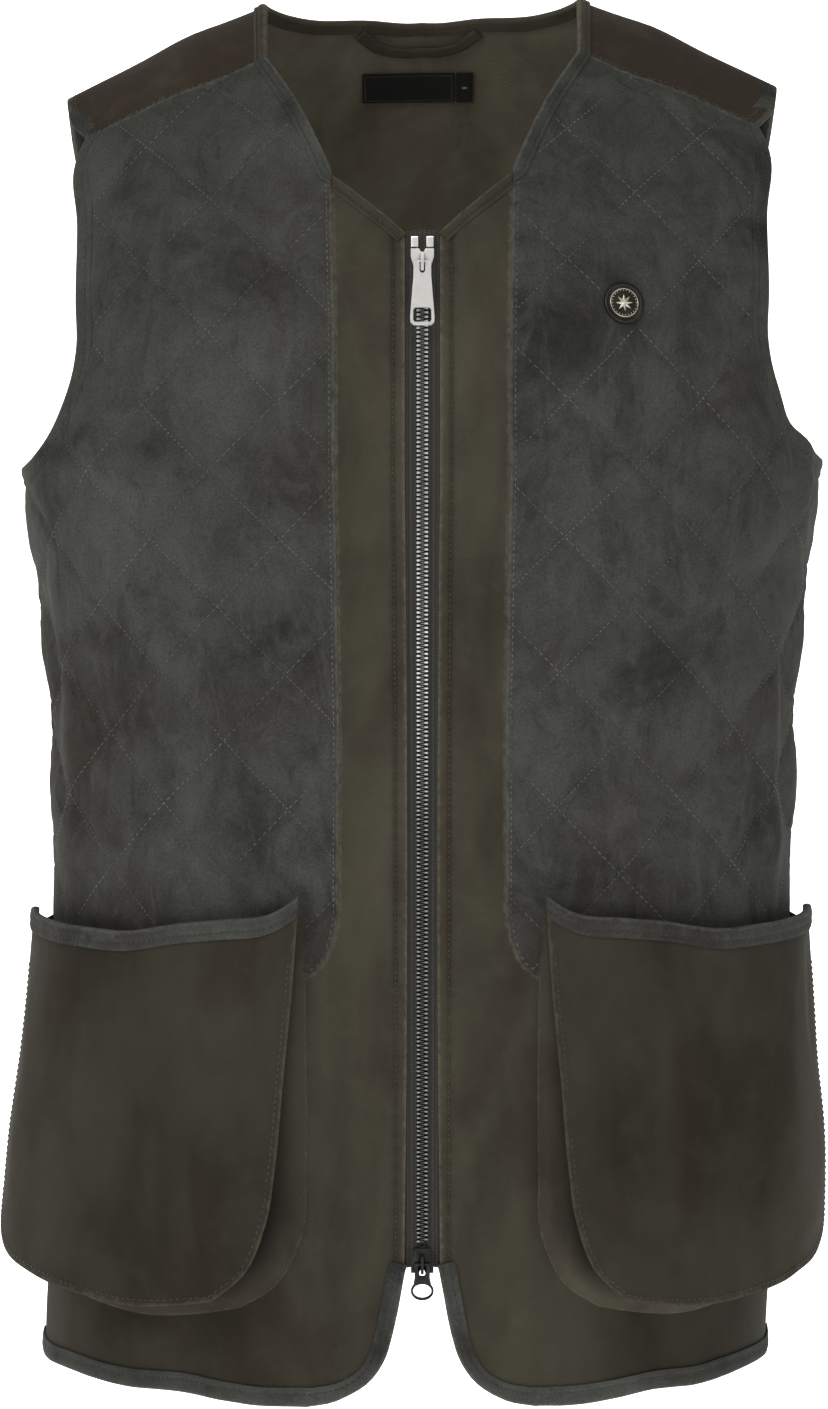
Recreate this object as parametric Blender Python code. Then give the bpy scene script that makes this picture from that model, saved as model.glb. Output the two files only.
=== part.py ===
# Hunting vest of quilted suede and olive cotton, in its worn shape with nobody in it.
# The vest faces -Y and hangs from its shoulders, with z = 0 at the highest points of the neck.
# "left" is the wearer's left, at +X. Sizes are millimetres and become metres when a mesh is made.
import math

import bmesh
import bpy
import numpy as np
from mathutils import Vector
from mathutils.geometry import delaunay_2d_cdt

MM = 0.001
FRONT = -1
BACK = 1

# Body form that the cut is draped on: a rounded oblong section under sloping shoulders
SECTION_POWER = 2.3
SHOULDER_POWER = 1.6
SHOULDER_FALL = 170.0
SHOULDER_DEPTH = 112.0
TYPICAL_WIDTH = 200.0
TYPICAL_DEPTH = 124.0
# height, half width, front depth, back depth
BODY_SECTIONS = (
    (-760, 190.0, 122, 120),
    (-713, 190.0, 122, 119),
    (-600, 190.5, 120, 113),
    (-472, 191.5, 121, 108),
    (-400, 192.0, 124, 109),
    (-360, 192.5, 127, 113),
    (-330, 196.0, 129, 116),
    (-295, 199.0, 130, 119),
    (-262, 203.0, 130, 121),
    (-240, 207.0, 129, 122),
    (-200, 207.0, 127, 122),
    (-150, 206.0, 122, 120),
    (-100, 206.0, 116, 115),
    (-50, 206.0, 109, 110),
    (0, 206.0, 102, 107),
    (60, 206.0, 98, 104),
)
# distance from the middle, height of the shoulder ridge
RIDGE = (
    (0, 30), (30, 25), (60, 11), (82, 0), (100, -7), (120, -14), (147, -28), (178, -43), (188, -48),
    (230, -70),
)
# height, how far the side of the hem swings over, rise for each millimetre to the left
HANG = (
    (-760, -9.0, 0.004),
    (-713, -9.0, 0.004),
    (-600, -3.0, 0.004),
    (-450, 0.0, 0.005),
    (-240, 0.0, 0.011),
    (0, 0.0, 0.018),
    (60, 0.0, 0.018),
)

# Cloth and edges
CLOTH = 1.6
SEAM = 0.2
CLEAR = 0.4
BINDING = 1.1
ARMHOLE_BINDING = 8.0
NECK_BINDING = 6.0
HEM_BINDING = 6.0
EDGE_STEP = 15.0
PLAIN_STEP = 27.0

# Cut lines of one front, as distance from the middle and height; the zip edge by its length round
NECK_OLIVE = ((11.5, -115), (28, -101), (45.5, -88))
NECK_SUEDE = ((45.5, -88), (61, -56), (81, -27))
YOKE_SEAM = ((81, -27), (116, -42), (141, -52), (172, -66))
ARMHOLE_FRONT = (
    (172, -66), (177.5, -80), (175.5, -110), (175.5, -150), (175, -175), (178, -191), (183, -205),
    (190, -219), (198, -230), (203.5, -236), (207, -239),
)
ARMHOLE_BACK = (
    (172, -66), (180.5, -58), (184, -46), (183, -66), (180, -90), (178, -125), (178, -165), (180, -191),
    (185, -207), (193, -222), (203.5, -235), (207, -239),
)
SUEDE_INNER = ((45.5, -88), (44, -200), (43, -300), (42.5, -440), (44, -470), (50, -487), (62, -497))
SUEDE_BOTTOM = ((62, -497), (90, -505), (150, -510), (192, -511))
ZIP_EDGE = ((11.5, -115), (11.5, -215), (11.5, -642))
HEM_CORNER = ((11.5, -642), (14, -661), (17, -680), (21, -692), (29, -703), (43, -711.5), (58, -715))
HEM_FRONT = ((58, -715), (95, -714), (143, -711), (176, -708), (190.5, -706))
HEM_BACK = ((190.5, -706), (176, -704), (143, -699), (95, -692), (45, -687), (0, -686))
BACK_NECK_DROP = 9.5
BACK_NECK_CURVE = 1.65

# Quilting: one corner of the diamonds, as length round and drop below the neck, their half width and
# half height, and how high the padding stands
QUILT_ACROSS = 71.0
QUILT_DROP = 269.0
QUILT_HALF_WIDTH = 34.5
QUILT_HALF_HEIGHT = 35.0
QUILT_RISE = 2.6
QUILT_CELLS = 3
QUILT_FADE = 13.0
QUILT_LOWEST = -455.0

# Round badge: its middle as length round and length down, its radius, and its section as the distance
# inside its rim and the height off the cloth
BADGE_SPOT = (99.0, 191.0)
BADGE_RADIUS = 10.6
BADGE_MARGIN = 2.0
BADGE_FACE = 2.0
BADGE_FOOT = 0.3
BADGE_SECTION = ((0.5, 0.3), (0.0, 0.8), (0.0, 1.9), (0.6, 2.4), (1.4, 2.4), (1.8, 2.0))
BADGE_SIDES = 24

# Each side's name and its way across
SIDES = (("left", 1), ("right", -1))

# Bellows pockets
POCKET_WALL = 1.5
POCKET_TOP = (
    (64, -452), (69, -456), (105, -465), (147, -472), (190, -474), (221, -474), (257, -473),
)
POCKET_INNER = (
    (64, -452), (67.5, -506), (71, -547), (74, -590), (78, -618), (88, -644), (104, -659),
)
POCKET_BOTTOM = ((104, -659), (131, -663), (174, -661), (204, -656), (231, -648), (250, -631), (258, -604))
POCKET_OUTER = ((258, -604), (258.5, -560), (258, -510), (257, -473))
GUSSET_INNER = ((63, -454), (62, -500), (61.5, -547), (62, -596), (64, -628), (76, -652), (97, -666))
GUSSET_BOTTOM = (
    (97, -666), (131, -672), (174, -671), (204, -666), (231, -658), (250, -641), (257.5, -612),
)
GUSSET_OUTER = ((257.5, -612), (258, -560), (257.5, -510), (256.5, -475))
GUSSET_WALL = 1.3
GUSSET_SEAT = 0.6
GUSSET_INSET = 1.6
BAND_TURN = 4.5
BAND_TURNED = 0.22
POCKET_STEP = 22.0
POCKET_STEPS = (14, 14, 9)
# height, how far the pocket's face stands off the body
POCKET_STAND = (
    (-720, 30.0), (-662, 30.0), (-620, 28.0), (-590, 25.5), (-547, 20.0), (-506, 16.0), (-465, 13.0),
    (-430, 12.0),
)
POCKET_BAND = 10.0

# Zip
TAPE_WALL = 1.1
TAPE_REACH = 17.0
TAPE_GAP = 1.0
TAPE_NECK = 9.4
CHAIN_HALF = 3.0
CHAIN_TOP = -137.4
CHAIN_BOTTOM = -633.0
TAPE_TOP = -116.5
TAPE_SHOULDER = -123.0
TAPE_FOOT = -639.5
TAPE_BOTTOM = -645.0
SLIDER_TOP = -131.5
SLIDER_FOOT = -639.0
FOOT_PIVOT = 2.4
STOP_BLOCK = ((2.1, 5.6), (-13.6, -8.2), (-0.1, 2.2))
CHAIN_SECTION = ((-1, -0.1), (-1, 1.6), (-0.7, 2.4), (0.7, 2.4), (1, 1.6), (1, -0.1))

# Sliders, as distance across and length along from their seat, mouth first, and heights off the form
SLIDER_FACE = (
    (-5.8, -7.0), (-1.6, -7.0), (0.0, -3.6), (1.6, -7.0), (5.8, -7.0), (5.8, -3.0), (4.4, 2.0), (4.3, 5.5),
    (-4.3, 5.5), (-4.4, 2.0), (-5.8, -3.0),
)
SLIDER_FACE_RISE = (2.7, 4.0)
SLIDER_FLANGE = ((3.4, 4.25), (-2.0, 5.4), (-0.05, 2.8))
SLIDER_POST = ((-0.7, 0.7), (-3.2, 3.0), (-2.1, 2.8))
SLIDER_BACK = ((-4.2, 4.2), (-5.6, 4.6), (-3.0, -1.95))
LUG_HALF = 0.8
LUG_NEAR = 1.35
LUG_FAR = 4.8
LUG_RISE = (3.9, 6.4)
BRIDGE_HALF = 4.1
BRIDGE_RISE = (6.3, 7.2)

# Pulls, measured from their pivots
PIVOT_OUT = 5.15
PIVOT_RADIUS = 0.75
PIVOT_HALF = 2.6
PULL_THICK = 1.5
PULL_PLATE = (
    (-4.4, -0.5), (4.4, -0.5), (4.5, 8.0), (6.1, 28.0), (6.0, 31.0), (4.6, 32.6), (-4.6, 32.6),
    (-6.0, 31.0), (-6.1, 28.0), (-4.5, 8.0),
)
PULL_WINDOW = ((-1.4, -2.0), (1.4, -2.0), (1.4, 4.9), (0.6, 5.8), (-0.6, 5.8), (-1.4, 4.9))
PULL_SLOT = (
    (-3.6, 23.6), (3.6, 23.6), (4.5, 24.6), (4.6, 30.0), (3.8, 31.0), (-3.8, 31.0), (-4.6, 30.0),
    (-4.5, 24.6),
)
RING_ARMS = ((-4.0, -0.5), (4.0, -0.5), (3.9, 7.0), (5.0, 12.5), (-5.0, 12.5), (-3.9, 7.0))
RING_EYE = ((-1.9, -2.0), (1.9, -2.0), (2.2, 3.2), (1.2, 5.8), (-1.2, 5.8), (-2.2, 3.2))
RING_CENTRE = 13.6
RING_OUTER = (5.9, 4.9)
RING_INNER = (4.7, 3.5)

# Trim inside the back neck: distances from the middle and heights
LABEL_COLUMNS = (-31.0, -19.0, -7.0, 5.0, 17.0)
TAB_COLUMNS = (18.0, 26.7)
LABEL_HEIGHTS = (-33.5, -41.0, -48.5)
LABEL_WALL = 1.0
LABEL_GAP = 0.5
HANGER_PATH = ((-31, -14), (-25, -18), (-17, -21), (-2, -22), (12, -21.5), (21, -18), (28, -14))
HANGER_WIDTH = 6.0
HANGER_NEAR = -1.9
HANGER_WALL = 1.2

# name: colour, roughness, metallic
FINISHES = {
    "suede": ((0.045, 0.048, 0.040), 0.92, 0.0),
    "cotton": ((0.040, 0.037, 0.025), 0.85, 0.0),
    "tape": ((0.022, 0.021, 0.018), 0.80, 0.0),
    "steel": ((0.72, 0.72, 0.70), 0.28, 1.0),
    "dark_steel": ((0.10, 0.10, 0.10), 0.40, 1.0),
    "label": ((0.010, 0.010, 0.009), 0.70, 0.0),
}


def smooth_value(x, xs, ys):
    """Value at x of the smooth curve through the points, flat past its ends."""
    slopes = np.gradient(ys, xs)
    x = min(max(x, xs[0]), xs[-1])
    i = min(max(int(np.searchsorted(xs, x)) - 1, 0), len(xs) - 2)
    run = xs[i + 1] - xs[i]
    t = (x - xs[i]) / run
    rise = (3 - 2 * t) * t * t
    start = t * (1 - t) ** 2 * run * slopes[i]
    end = t * t * (t - 1) * run * slopes[i + 1]
    return ys[i] * (1 - rise) + ys[i + 1] * rise + start + end


def dense(rows, column, step=1.0):
    """A table's column read off its smooth curve at every step."""
    xs = np.array([row[0] for row in rows], float)
    ys = np.array([row[column] for row in rows], float)
    fine = np.arange(xs[0], xs[-1] + step, step)
    return fine, np.array([smooth_value(x, xs, ys) for x in fine])


def quarter_curve(across, along, power, count=361):
    """Lengths along a quarter of a rounded oblong, with the shares of its two half axes."""
    turn = np.linspace(0, math.pi / 2, count)
    out = np.sin(turn) ** (2 / power)
    left = np.cos(turn) ** (2 / power)
    steps = np.hypot(np.diff(out) * across, np.diff(left) * along)
    return np.concatenate(([0], np.cumsum(steps))), out, left


SECTION = quarter_curve(TYPICAL_WIDTH, TYPICAL_DEPTH, SECTION_POWER)
SHOULDER = quarter_curve(SHOULDER_DEPTH, SHOULDER_FALL, SHOULDER_POWER)
QUARTER = SECTION[0][-1]
SHOULDER_RUN = SHOULDER[0][-1]
WIDTHS = dense(BODY_SECTIONS, 1)
DEPTHS = {FRONT: dense(BODY_SECTIONS, 2), BACK: dense(BODY_SECTIONS, 3)}
RIDGES = dense(RIDGE, 1)
SWAY = dense(HANG, 1)
LEAN = dense(HANG, 2)
STAND = dense(POCKET_STAND, 1)


def read(table, x):
    return float(np.interp(x, table[0], table[1]))


def place(across, down, face):
    """Point of the body form: across is its length round from the middle, down its length from the ridge."""
    side = 1 if across >= 0 else -1
    across = abs(across)
    if across > QUARTER:
        across = 2 * QUARTER - across
        face = -face
    if down < 0:
        down = -down
        face = -face
    share = np.interp(across, SECTION[0], SECTION[1])
    depth_share = np.interp(across, SECTION[0], SECTION[2])
    reach = np.interp(down, SHOULDER[0], SHOULDER[1])
    fall = SHOULDER_FALL * (1 - np.interp(down, SHOULDER[0], SHOULDER[2])) + max(down - SHOULDER_RUN, 0)
    x = TYPICAL_WIDTH * share
    for _ in range(4):
        z = read(RIDGES, x) - fall
        x = read(WIDTHS, z) * share
    x_out = side * x + read(SWAY, z) * share * share
    y_out = face * read(DEPTHS[face], z) * depth_share * reach
    return np.array((x_out, y_out, z + read(LEAN, z) * side * x))


def outward(across, down, face):
    """Unit normal of the body form, away from the body."""
    small = 0.4
    round_way = place(across + small, down, face) - place(across - small, down, face)
    down_way = place(across, down + small, face) - place(across, down - small, face)
    normal = np.cross(round_way, down_way) * face
    return normal / np.linalg.norm(normal)


def off_body(across, down, face, rise):
    return place(across, down, face) + outward(across, down, face) * rise


def down_of(across, height):
    """Length down the form at which a line round it reaches a height."""
    share = np.interp(abs(across), SECTION[0], SECTION[1])
    fall = max(read(RIDGES, read(WIDTHS, height) * share) - height, 0)
    if fall < SHOULDER_FALL:
        return float(np.interp(fall / SHOULDER_FALL, 1 - SHOULDER[2], SHOULDER[0]))
    return SHOULDER_RUN + fall - SHOULDER_FALL


def on_form(x, height):
    """(across, down) of a point given by its distance from the middle and its height."""
    share = min(x / read(WIDTHS, height), 1.0)
    across = float(np.interp(share, SECTION[1], SECTION[0]))
    return across, down_of(across, height)


def trace(points, step):
    """Points an even step apart along the smooth curve through the given points, both ends kept."""
    points = np.array(points, float)
    lengths = np.concatenate(([0], np.cumsum(np.hypot(*np.diff(points, axis=0).T))))
    fine = np.linspace(0, lengths[-1], 40 * len(points))
    curve = np.array([[smooth_value(t, lengths, points[:, k]) for k in (0, 1)] for t in fine])
    run = np.concatenate(([0], np.cumsum(np.hypot(*np.diff(curve, axis=0).T))))
    count = max(1, round(run[-1] / step))
    even = np.linspace(0, run[-1], count + 1)
    return [(float(np.interp(t, run, curve[:, 0])), float(np.interp(t, run, curve[:, 1]))) for t in even]


def cut_line(rows, step=EDGE_STEP):
    """A cut line given by distance from the middle and height, as (across, down) points."""
    return trace([on_form(*row) for row in rows], step)


def pocket_line(rows, step=EDGE_STEP):
    """A pocket's line given by length round and height, as (across, down) points."""
    return trace([(row[0], down_of(*row)) for row in rows], step)


def mirrored(points):
    return [(-across, down) for across, down in points]


def joined(*lines):
    """One line through several that follow each other, their shared ends kept once."""
    whole = list(lines[0])
    for line in lines[1:]:
        whole += line[1:]
    return whole


def signed_area(loop):
    points = np.array(loop)
    after = np.roll(points, -1, axis=0)
    return 0.5 * float(np.sum(points[:, 0] * after[:, 1] - after[:, 0] * points[:, 1]))


def inward_ways(points, closed, left_side):
    """Unit ways across a line at each of its points, to its left or right side."""
    points = np.array(points, float)
    before = np.roll(points, 1, axis=0)
    after = np.roll(points, -1, axis=0)
    if not closed:
        before[0] = points[0]
        after[-1] = points[-1]
    ways = []
    for back, here, ahead in zip(before, points, after):
        ways_here = [step / np.linalg.norm(step) for step in (here - back, ahead - here) if np.any(step)]
        across = [np.array((-way[1], way[0])) * (1 if left_side else -1) for way in ways_here]
        middle = sum(across)
        middle /= np.linalg.norm(middle)
        ways.append(middle / max(middle @ across[0], 0.5))
    return ways


def moved_in(loop, distance):
    """A closed loop moved inwards."""
    ways = inward_ways(loop, True, signed_area(loop) > 0)
    return [tuple(np.array(point) + way * distance) for point, way in zip(loop, ways)]


def gap_to_line(point, line):
    """Distance from a point to a line of points."""
    a = np.array(line[:-1])
    b = np.array(line[1:])
    span = b - a
    share = np.clip(np.sum((point - a) * span, axis=1) / np.sum(span * span, axis=1), 0, 1)
    return float(np.min(np.linalg.norm(point - a - share[:, None] * span, axis=1)))


def inside(points, loop):
    """Which of the points lie inside a closed loop."""
    x = points[:, 0]
    y = points[:, 1]
    found = np.zeros(len(points), bool)
    for (x0, y0), (x1, y1) in zip(loop, loop[1:] + loop[:1]):
        if y0 == y1:
            continue
        crosses = (y0 > y) != (y1 > y)
        found ^= crosses & (x < x0 + (y - y0) * (x1 - x0) / (y1 - y0))
    return found


def material_for(name, finish):
    colour, roughness, metallic = FINISHES[finish]
    material = bpy.data.materials.new(name + "_finish")
    material.use_nodes = True
    shader = material.node_tree.nodes["Principled BSDF"]
    shader.inputs["Base Color"].default_value = (*colour, 1)
    shader.inputs["Roughness"].default_value = roughness
    shader.inputs["Metallic"].default_value = metallic
    return material


def make_piece(name, points, faces, finish, origin=(0, 0, 0)):
    """One named object from points in millimetres, its own origin on the given point."""
    origin = np.array(origin, float)
    mesh = bpy.data.meshes.new(name)
    mesh.from_pydata([tuple((np.array(p) - origin) * MM) for p in points], [], faces)
    mesh.update()
    piece = bpy.data.objects.new(name, mesh)
    piece.location = origin * MM
    bpy.context.collection.objects.link(piece)
    mesh.materials.append(material_for(name, finish))
    return piece


def field_points(loop, keep_off, step):
    """Evenly staggered points inside a loop, clear of its edge and of the guide lines."""
    low = np.min(loop, axis=0)
    high = np.max(loop, axis=0)
    rows = np.arange(low[1], high[1], step * 0.87)
    found = []
    for k, down in enumerate(rows):
        start = math.floor(low[0] / step) * step + (step / 2 if k % 2 else 0)
        found += [(across, down) for across in np.arange(start, high[0], step)]
    return clear_points(found, loop, keep_off, step * 0.45)


def clear_points(points, loop, lines, clearance):
    """The points inside the loop that lie at least the clearance from each line."""
    points = np.array(points).reshape(-1, 2)
    points = points[inside(points, loop)]
    return [p for p in points if min(gap_to_line(p, line) for line in lines) > clearance]


def cloth_panel(name, outline, face, finish, low, high, guides=(), step=PLAIN_STEP, field=None, under=()):
    """A cloth wall over an outline on the body form; low and high give its two faces' rise at a point.

    The guides are lines that its net follows, and the points under other pieces are corners of its net.
    """
    loop = moved_in(outline, SEAM)
    lines = [loop + loop[:1], *guides]
    backing = clear_points(under, loop, lines, 1.2)
    if field is None:
        inner = field_points(loop, lines, step)
    else:
        inner = clear_points(field, loop, lines, 5.0)
    if backing:
        spots = np.array(backing)
        inner = [p for p in inner if np.min(np.hypot(*(spots - p).T)) > 7.0]
    inner += backing
    flat = [Vector(p) for p in loop]
    edges = [(k, (k + 1) % len(loop)) for k in range(len(loop))]
    for line in guides:
        first = len(flat)
        flat += [Vector(p) for p in line]
        edges += [(first + k, first + k + 1) for k in range(len(line) - 1)]
    flat += [Vector(p) for p in inner]
    net = delaunay_2d_cdt(flat, edges, [], 0, 1e-4)
    spots = np.array([tuple(v) for v in net[0]])
    middles = np.array([spots[list(tri)].mean(axis=0) for tri in net[2]])
    kept = [tuple(tri) for tri, use in zip(net[2], inside(middles, loop)) if use]
    kept = [tri if signed_area(spots[list(tri)]) > 0 else tri[::-1] for tri in kept]
    used = sorted({k for tri in kept for k in tri})
    number = {k: n for n, k in enumerate(used)}
    kept = [tuple(number[k] for k in tri) for tri in kept]
    spots = spots[used]
    count = len(spots)
    points = [off_body(*spot, face, low(*spot)) for spot in spots]
    points += [off_body(*spot, face, high(*spot)) for spot in spots]
    sides = {}
    for a, b, c in kept:
        for edge in ((a, b), (b, c), (c, a)):
            sides[edge] = sides.get(edge, 0) + 1
    faces = []
    for a, b, c in kept:
        faces.append((a + count, b + count, c + count))
        faces.append((c, b, a))
    for a, b in sides:
        if (b, a) not in sides:
            faces.append((a, b, b + count))
            faces.append((a, b + count, a + count))
    if face == FRONT:
        faces = [tri[::-1] for tri in faces]
    return make_piece(name, points, faces, finish)


def level(rise):
    return lambda across, down: rise


def strip(name, rings, closed, finish):
    """A closed solid through rings of equal point counts."""
    around = len(rings[0])
    points = [p for ring in rings for p in ring]
    faces = []
    last = len(rings) if closed else len(rings) - 1
    for k in range(last):
        here = k * around
        ahead = (k + 1) % len(rings) * around
        for j in range(around):
            j2 = (j + 1) % around
            faces.append((here + j, ahead + j, ahead + j2, here + j2))
    if not closed:
        faces.append(tuple(range(around)))
        faces.append(tuple(range(len(points) - 1, len(points) - around - 1, -1)))
    piece = make_piece(name, points, faces, finish)
    shape = bmesh.new()
    shape.from_mesh(piece.data)
    bmesh.ops.triangulate(shape, faces=shape.faces[:])
    if shape.calc_volume(signed=True) < 0:
        bmesh.ops.reverse_faces(shape, faces=shape.faces[:])
    shape.to_mesh(piece.data)
    shape.free()
    return piece


def binding_ring(edge, inner, face, wall, back_share=1.0):
    """Section of a folded binding round a cloth edge; wall gives the rises of the cloth's two faces."""
    low, high = [rise(*edge) for rise in wall]
    e = place(*edge, face)
    i = place(*inner, face)
    ne = outward(*edge, face)
    ni = outward(*inner, face)
    low_in, high_in = [rise(*inner) for rise in wall]
    way = (e + ne * high) - (i + ni * high_in)
    way /= np.linalg.norm(way)
    turned = tuple(np.array(edge) + (np.array(inner) - np.array(edge)) * back_share)
    b = place(*turned, face)
    nb = outward(*turned, face)
    low_back = wall[0](*turned)
    round_off = 0.45 * BINDING
    reach = CLEAR + BINDING
    return (
        i + ni * (high_in + reach),
        e + ne * (high + reach) + way * (reach - round_off),
        e + ne * (high + reach - round_off) + way * reach,
        e + ne * (low - reach + round_off) + way * reach,
        e + ne * (low - reach) + way * (reach - round_off),
        b + nb * (low_back - reach),
        b + nb * (low_back - CLEAR),
        e + ne * (low - CLEAR) + way * CLEAR,
        e + ne * (high + CLEAR) + way * CLEAR,
        i + ni * (high_in + CLEAR),
    )


def shortened(line, trim):
    """An open line with its two ends drawn in along it."""
    points = [np.array(p) for p in line]
    for end, ahead in ((0, 1), (-1, -2)):
        way = points[ahead] - points[end]
        points[end] = points[end] + way / np.linalg.norm(way) * trim
    return [tuple(p) for p in points]


def bound_edge(name, edge, inner, face, finish, wall, back_share=1.0):
    rings = [binding_ring(e, i, face, wall, back_share) for e, i in zip(edge, inner)]
    return strip(name, rings, False, finish)


def inner_line(line, width, left_side):
    ways = inward_ways(line, False, left_side)
    return [tuple(np.array(p) + way * width) for p, way in zip(line, ways)]


# Cut lines of the wearer's left side, as (across, down)
neck_olive = cut_line(NECK_OLIVE, 12.0)
neck_suede = cut_line(NECK_SUEDE, 12.0)
yoke_seam = cut_line(YOKE_SEAM)
armhole_front = cut_line(ARMHOLE_FRONT, 13.0)
suede_inner = cut_line(SUEDE_INNER[:4], 24.0)[:-1] + cut_line(SUEDE_INNER[3:], 9.0)
suede_bottom = cut_line(SUEDE_BOTTOM)
hem_corner = cut_line(HEM_CORNER, 10.0)
hem_front = cut_line(HEM_FRONT, 17.0)
zip_edge = joined(pocket_line(ZIP_EDGE[:2], 10.0), pocket_line(ZIP_EDGE[1:], 25.0))
neck_olive[0] = zip_edge[0]
hem_corner[0] = zip_edge[-1]
side_top = armhole_front[-1][1]
side_low = suede_bottom[-1][1]
hem_side = hem_front[-1][1]
side_suede = trace([(QUARTER, side_top), (QUARTER, side_low)], 20.0)
side_olive = trace([(QUARTER, side_low), (QUARTER, hem_side)], 20.0)
armhole_front[-1] = side_suede[0]
suede_bottom[-1] = side_suede[-1]
hem_front[-1] = side_olive[-1]


def even_line(tables, counts):
    """A pocket's line through its parts, a fixed number of steps each, so that two such lines match."""
    parts = []
    for rows, count in zip(tables, counts):
        fine = np.array(pocket_line(rows, 1.0))
        picks = np.linspace(0, len(fine) - 1, count + 1)
        columns = [np.interp(picks, np.arange(len(fine)), fine[:, c]) for c in (0, 1)]
        parts.append([(float(across), float(down)) for across, down in zip(*columns)])
    return joined(*parts)


pocket_base = even_line((GUSSET_INNER, GUSSET_BOTTOM, GUSSET_OUTER), POCKET_STEPS)
pocket_rim = even_line((POCKET_INNER, POCKET_BOTTOM, POCKET_OUTER), POCKET_STEPS)


def back_cut_lines():
    """The back's neck, armhole and hem on the left side; down is negative where it lies on the chest."""
    neck_seam = neck_suede[-1]
    ridge_neck = (on_form(82, 0)[0], 0.0)
    centre = (0.0, down_of(0.0, -BACK_NECK_DROP))
    front_part = trace([(neck_seam[0], -neck_seam[1]), ridge_neck], 14.0)
    turns = np.linspace(0, math.pi / 2, 9)
    middle = [
        (ridge_neck[0] * abs(math.cos(t)) ** (2 / BACK_NECK_CURVE), centre[1] * math.sin(t) ** (2 / BACK_NECK_CURVE))
        for t in turns
    ]
    middle[-1] = centre
    neck = joined(front_part, trace(middle, 13.0))
    seam_end = yoke_seam[-1]
    rows = [on_form(*row) for row in ARMHOLE_BACK]
    over = [(seam_end[0], -seam_end[1]), (rows[1][0], -rows[1][1]), (rows[2][0], 0.0)]
    armhole = trace(over + rows[3:], 13.0)
    armhole[-1] = side_suede[0]
    hem = cut_line(HEM_BACK, 17.0)
    hem[0] = side_olive[-1]
    hem[-1] = (0.0, hem[-1][1])
    return neck, armhole, hem


back_neck, armhole_back, hem_back = back_cut_lines()


def turned_inner(line, width, left_side, start=None, end=None):
    """Inner edge of a binding along a cut line, its ends put on the seams that it meets."""
    found = inner_line(line, width, left_side)
    if start is not None:
        found[0] = start
    if end is not None:
        found[-1] = end
    return found


def along_line(line, distance):
    """The point of a line at a distance from its start."""
    points = np.array(line)
    run = np.concatenate(([0], np.cumsum(np.hypot(*np.diff(points, axis=0).T))))
    return tuple(float(np.interp(distance, run, points[:, k])) for k in (0, 1))


def on_back(line):
    """Points of the chest side as the back piece counts them, with down negative before the ridge."""
    return [(across, -down) for across, down in line]


# Lines that the bindings' inner edges follow, a binding's width inside the cut
underarm_in = (QUARTER, side_top + ARMHOLE_BINDING)
yoke_arm_in = along_line(yoke_seam[::-1], ARMHOLE_BINDING)
yoke_neck_in = along_line(yoke_seam, NECK_BINDING)
neck_join_in = along_line(suede_inner, NECK_BINDING)
hem_side_in = (QUARTER, hem_side - HEM_BINDING)
armhole_front_in = turned_inner(armhole_front, ARMHOLE_BINDING, True, yoke_arm_in, underarm_in)
armhole_back_in = turned_inner(
    armhole_back, ARMHOLE_BINDING, True, (yoke_arm_in[0], -yoke_arm_in[1]), underarm_in
)
neck_suede_in = turned_inner(neck_suede, NECK_BINDING, True, neck_join_in, yoke_neck_in)
neck_olive_in = turned_inner(neck_olive, NECK_BINDING, True, None, neck_join_in)
back_neck_in = turned_inner(
    back_neck, NECK_BINDING, False,
    (yoke_neck_in[0], -yoke_neck_in[1]), (0.0, back_neck[-1][1] + NECK_BINDING),
)
hem_front_line = joined(hem_corner, hem_front)
hem_front_in = turned_inner(hem_front_line, HEM_BINDING, False, None, hem_side_in)
hem_back_in = turned_inner(hem_back, HEM_BINDING, True, hem_side_in, (0.0, hem_back[-1][1] - HEM_BINDING))


def height_at(across, down):
    return float(place(across, down, FRONT)[2])


def shoulder_offset(across):
    """How much longer the way down the form is than the drop below the neck, past the shoulder's round."""
    share = np.interp(abs(across), SECTION[0], SECTION[1])
    return SHOULDER_RUN - SHOULDER_FALL + read(RIDGES, TYPICAL_WIDTH * share)


def quilting(across, down):
    """Share of the padding's full height at a point: none on a stitch line, most in a diamond's middle."""
    a = (abs(across) - QUILT_ACROSS) / QUILT_HALF_WIDTH
    b = (down - shoulder_offset(across) - QUILT_DROP) / QUILT_HALF_HEIGHT
    puffs = [abs(math.sin(math.pi * (a + way * b) / 2)) for way in (1, -1)]
    return (puffs[0] * puffs[1]) ** 0.6


def suede_face(across, down):
    """Outer face of the quilted suede over the body form."""
    spot = np.array((abs(across), down))
    bound = min(gap_to_line(spot, line) for line in (neck_suede, armhole_front))
    sewn = min(gap_to_line(spot, line) for line in (suede_inner, suede_bottom, side_suede, yoke_seam))
    fade = min(1.0, max(0.0, bound - ARMHOLE_BINDING) / QUILT_FADE, sewn / QUILT_FADE)
    fade *= min(1.0, max(0.0, height_at(across, down) - QUILT_LOWEST) / QUILT_FADE)
    if across > 0:
        badge = math.dist(spot, BADGE_SPOT) - BADGE_RADIUS - BADGE_MARGIN
        fade *= min(1.0, max(0.0, badge) / QUILT_FADE)
    return CLOTH + QUILT_RISE * quilting(across, down) * fade


def quilt_grid():
    """Points on the stitch lines and between them, a few to each side of a diamond."""
    reach = range(-14 * QUILT_CELLS, 14 * QUILT_CELLS)
    found = []
    for i in reach:
        for j in reach:
            across = QUILT_ACROSS + QUILT_HALF_WIDTH * (i + j) / QUILT_CELLS
            drop = QUILT_DROP + QUILT_HALF_HEIGHT * (i - j) / QUILT_CELLS
            if 0 < across < QUARTER:
                found.append((across, drop + shoulder_offset(across)))
    return found


def for_side(side, line):
    return line if side > 0 else mirrored(line)


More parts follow.
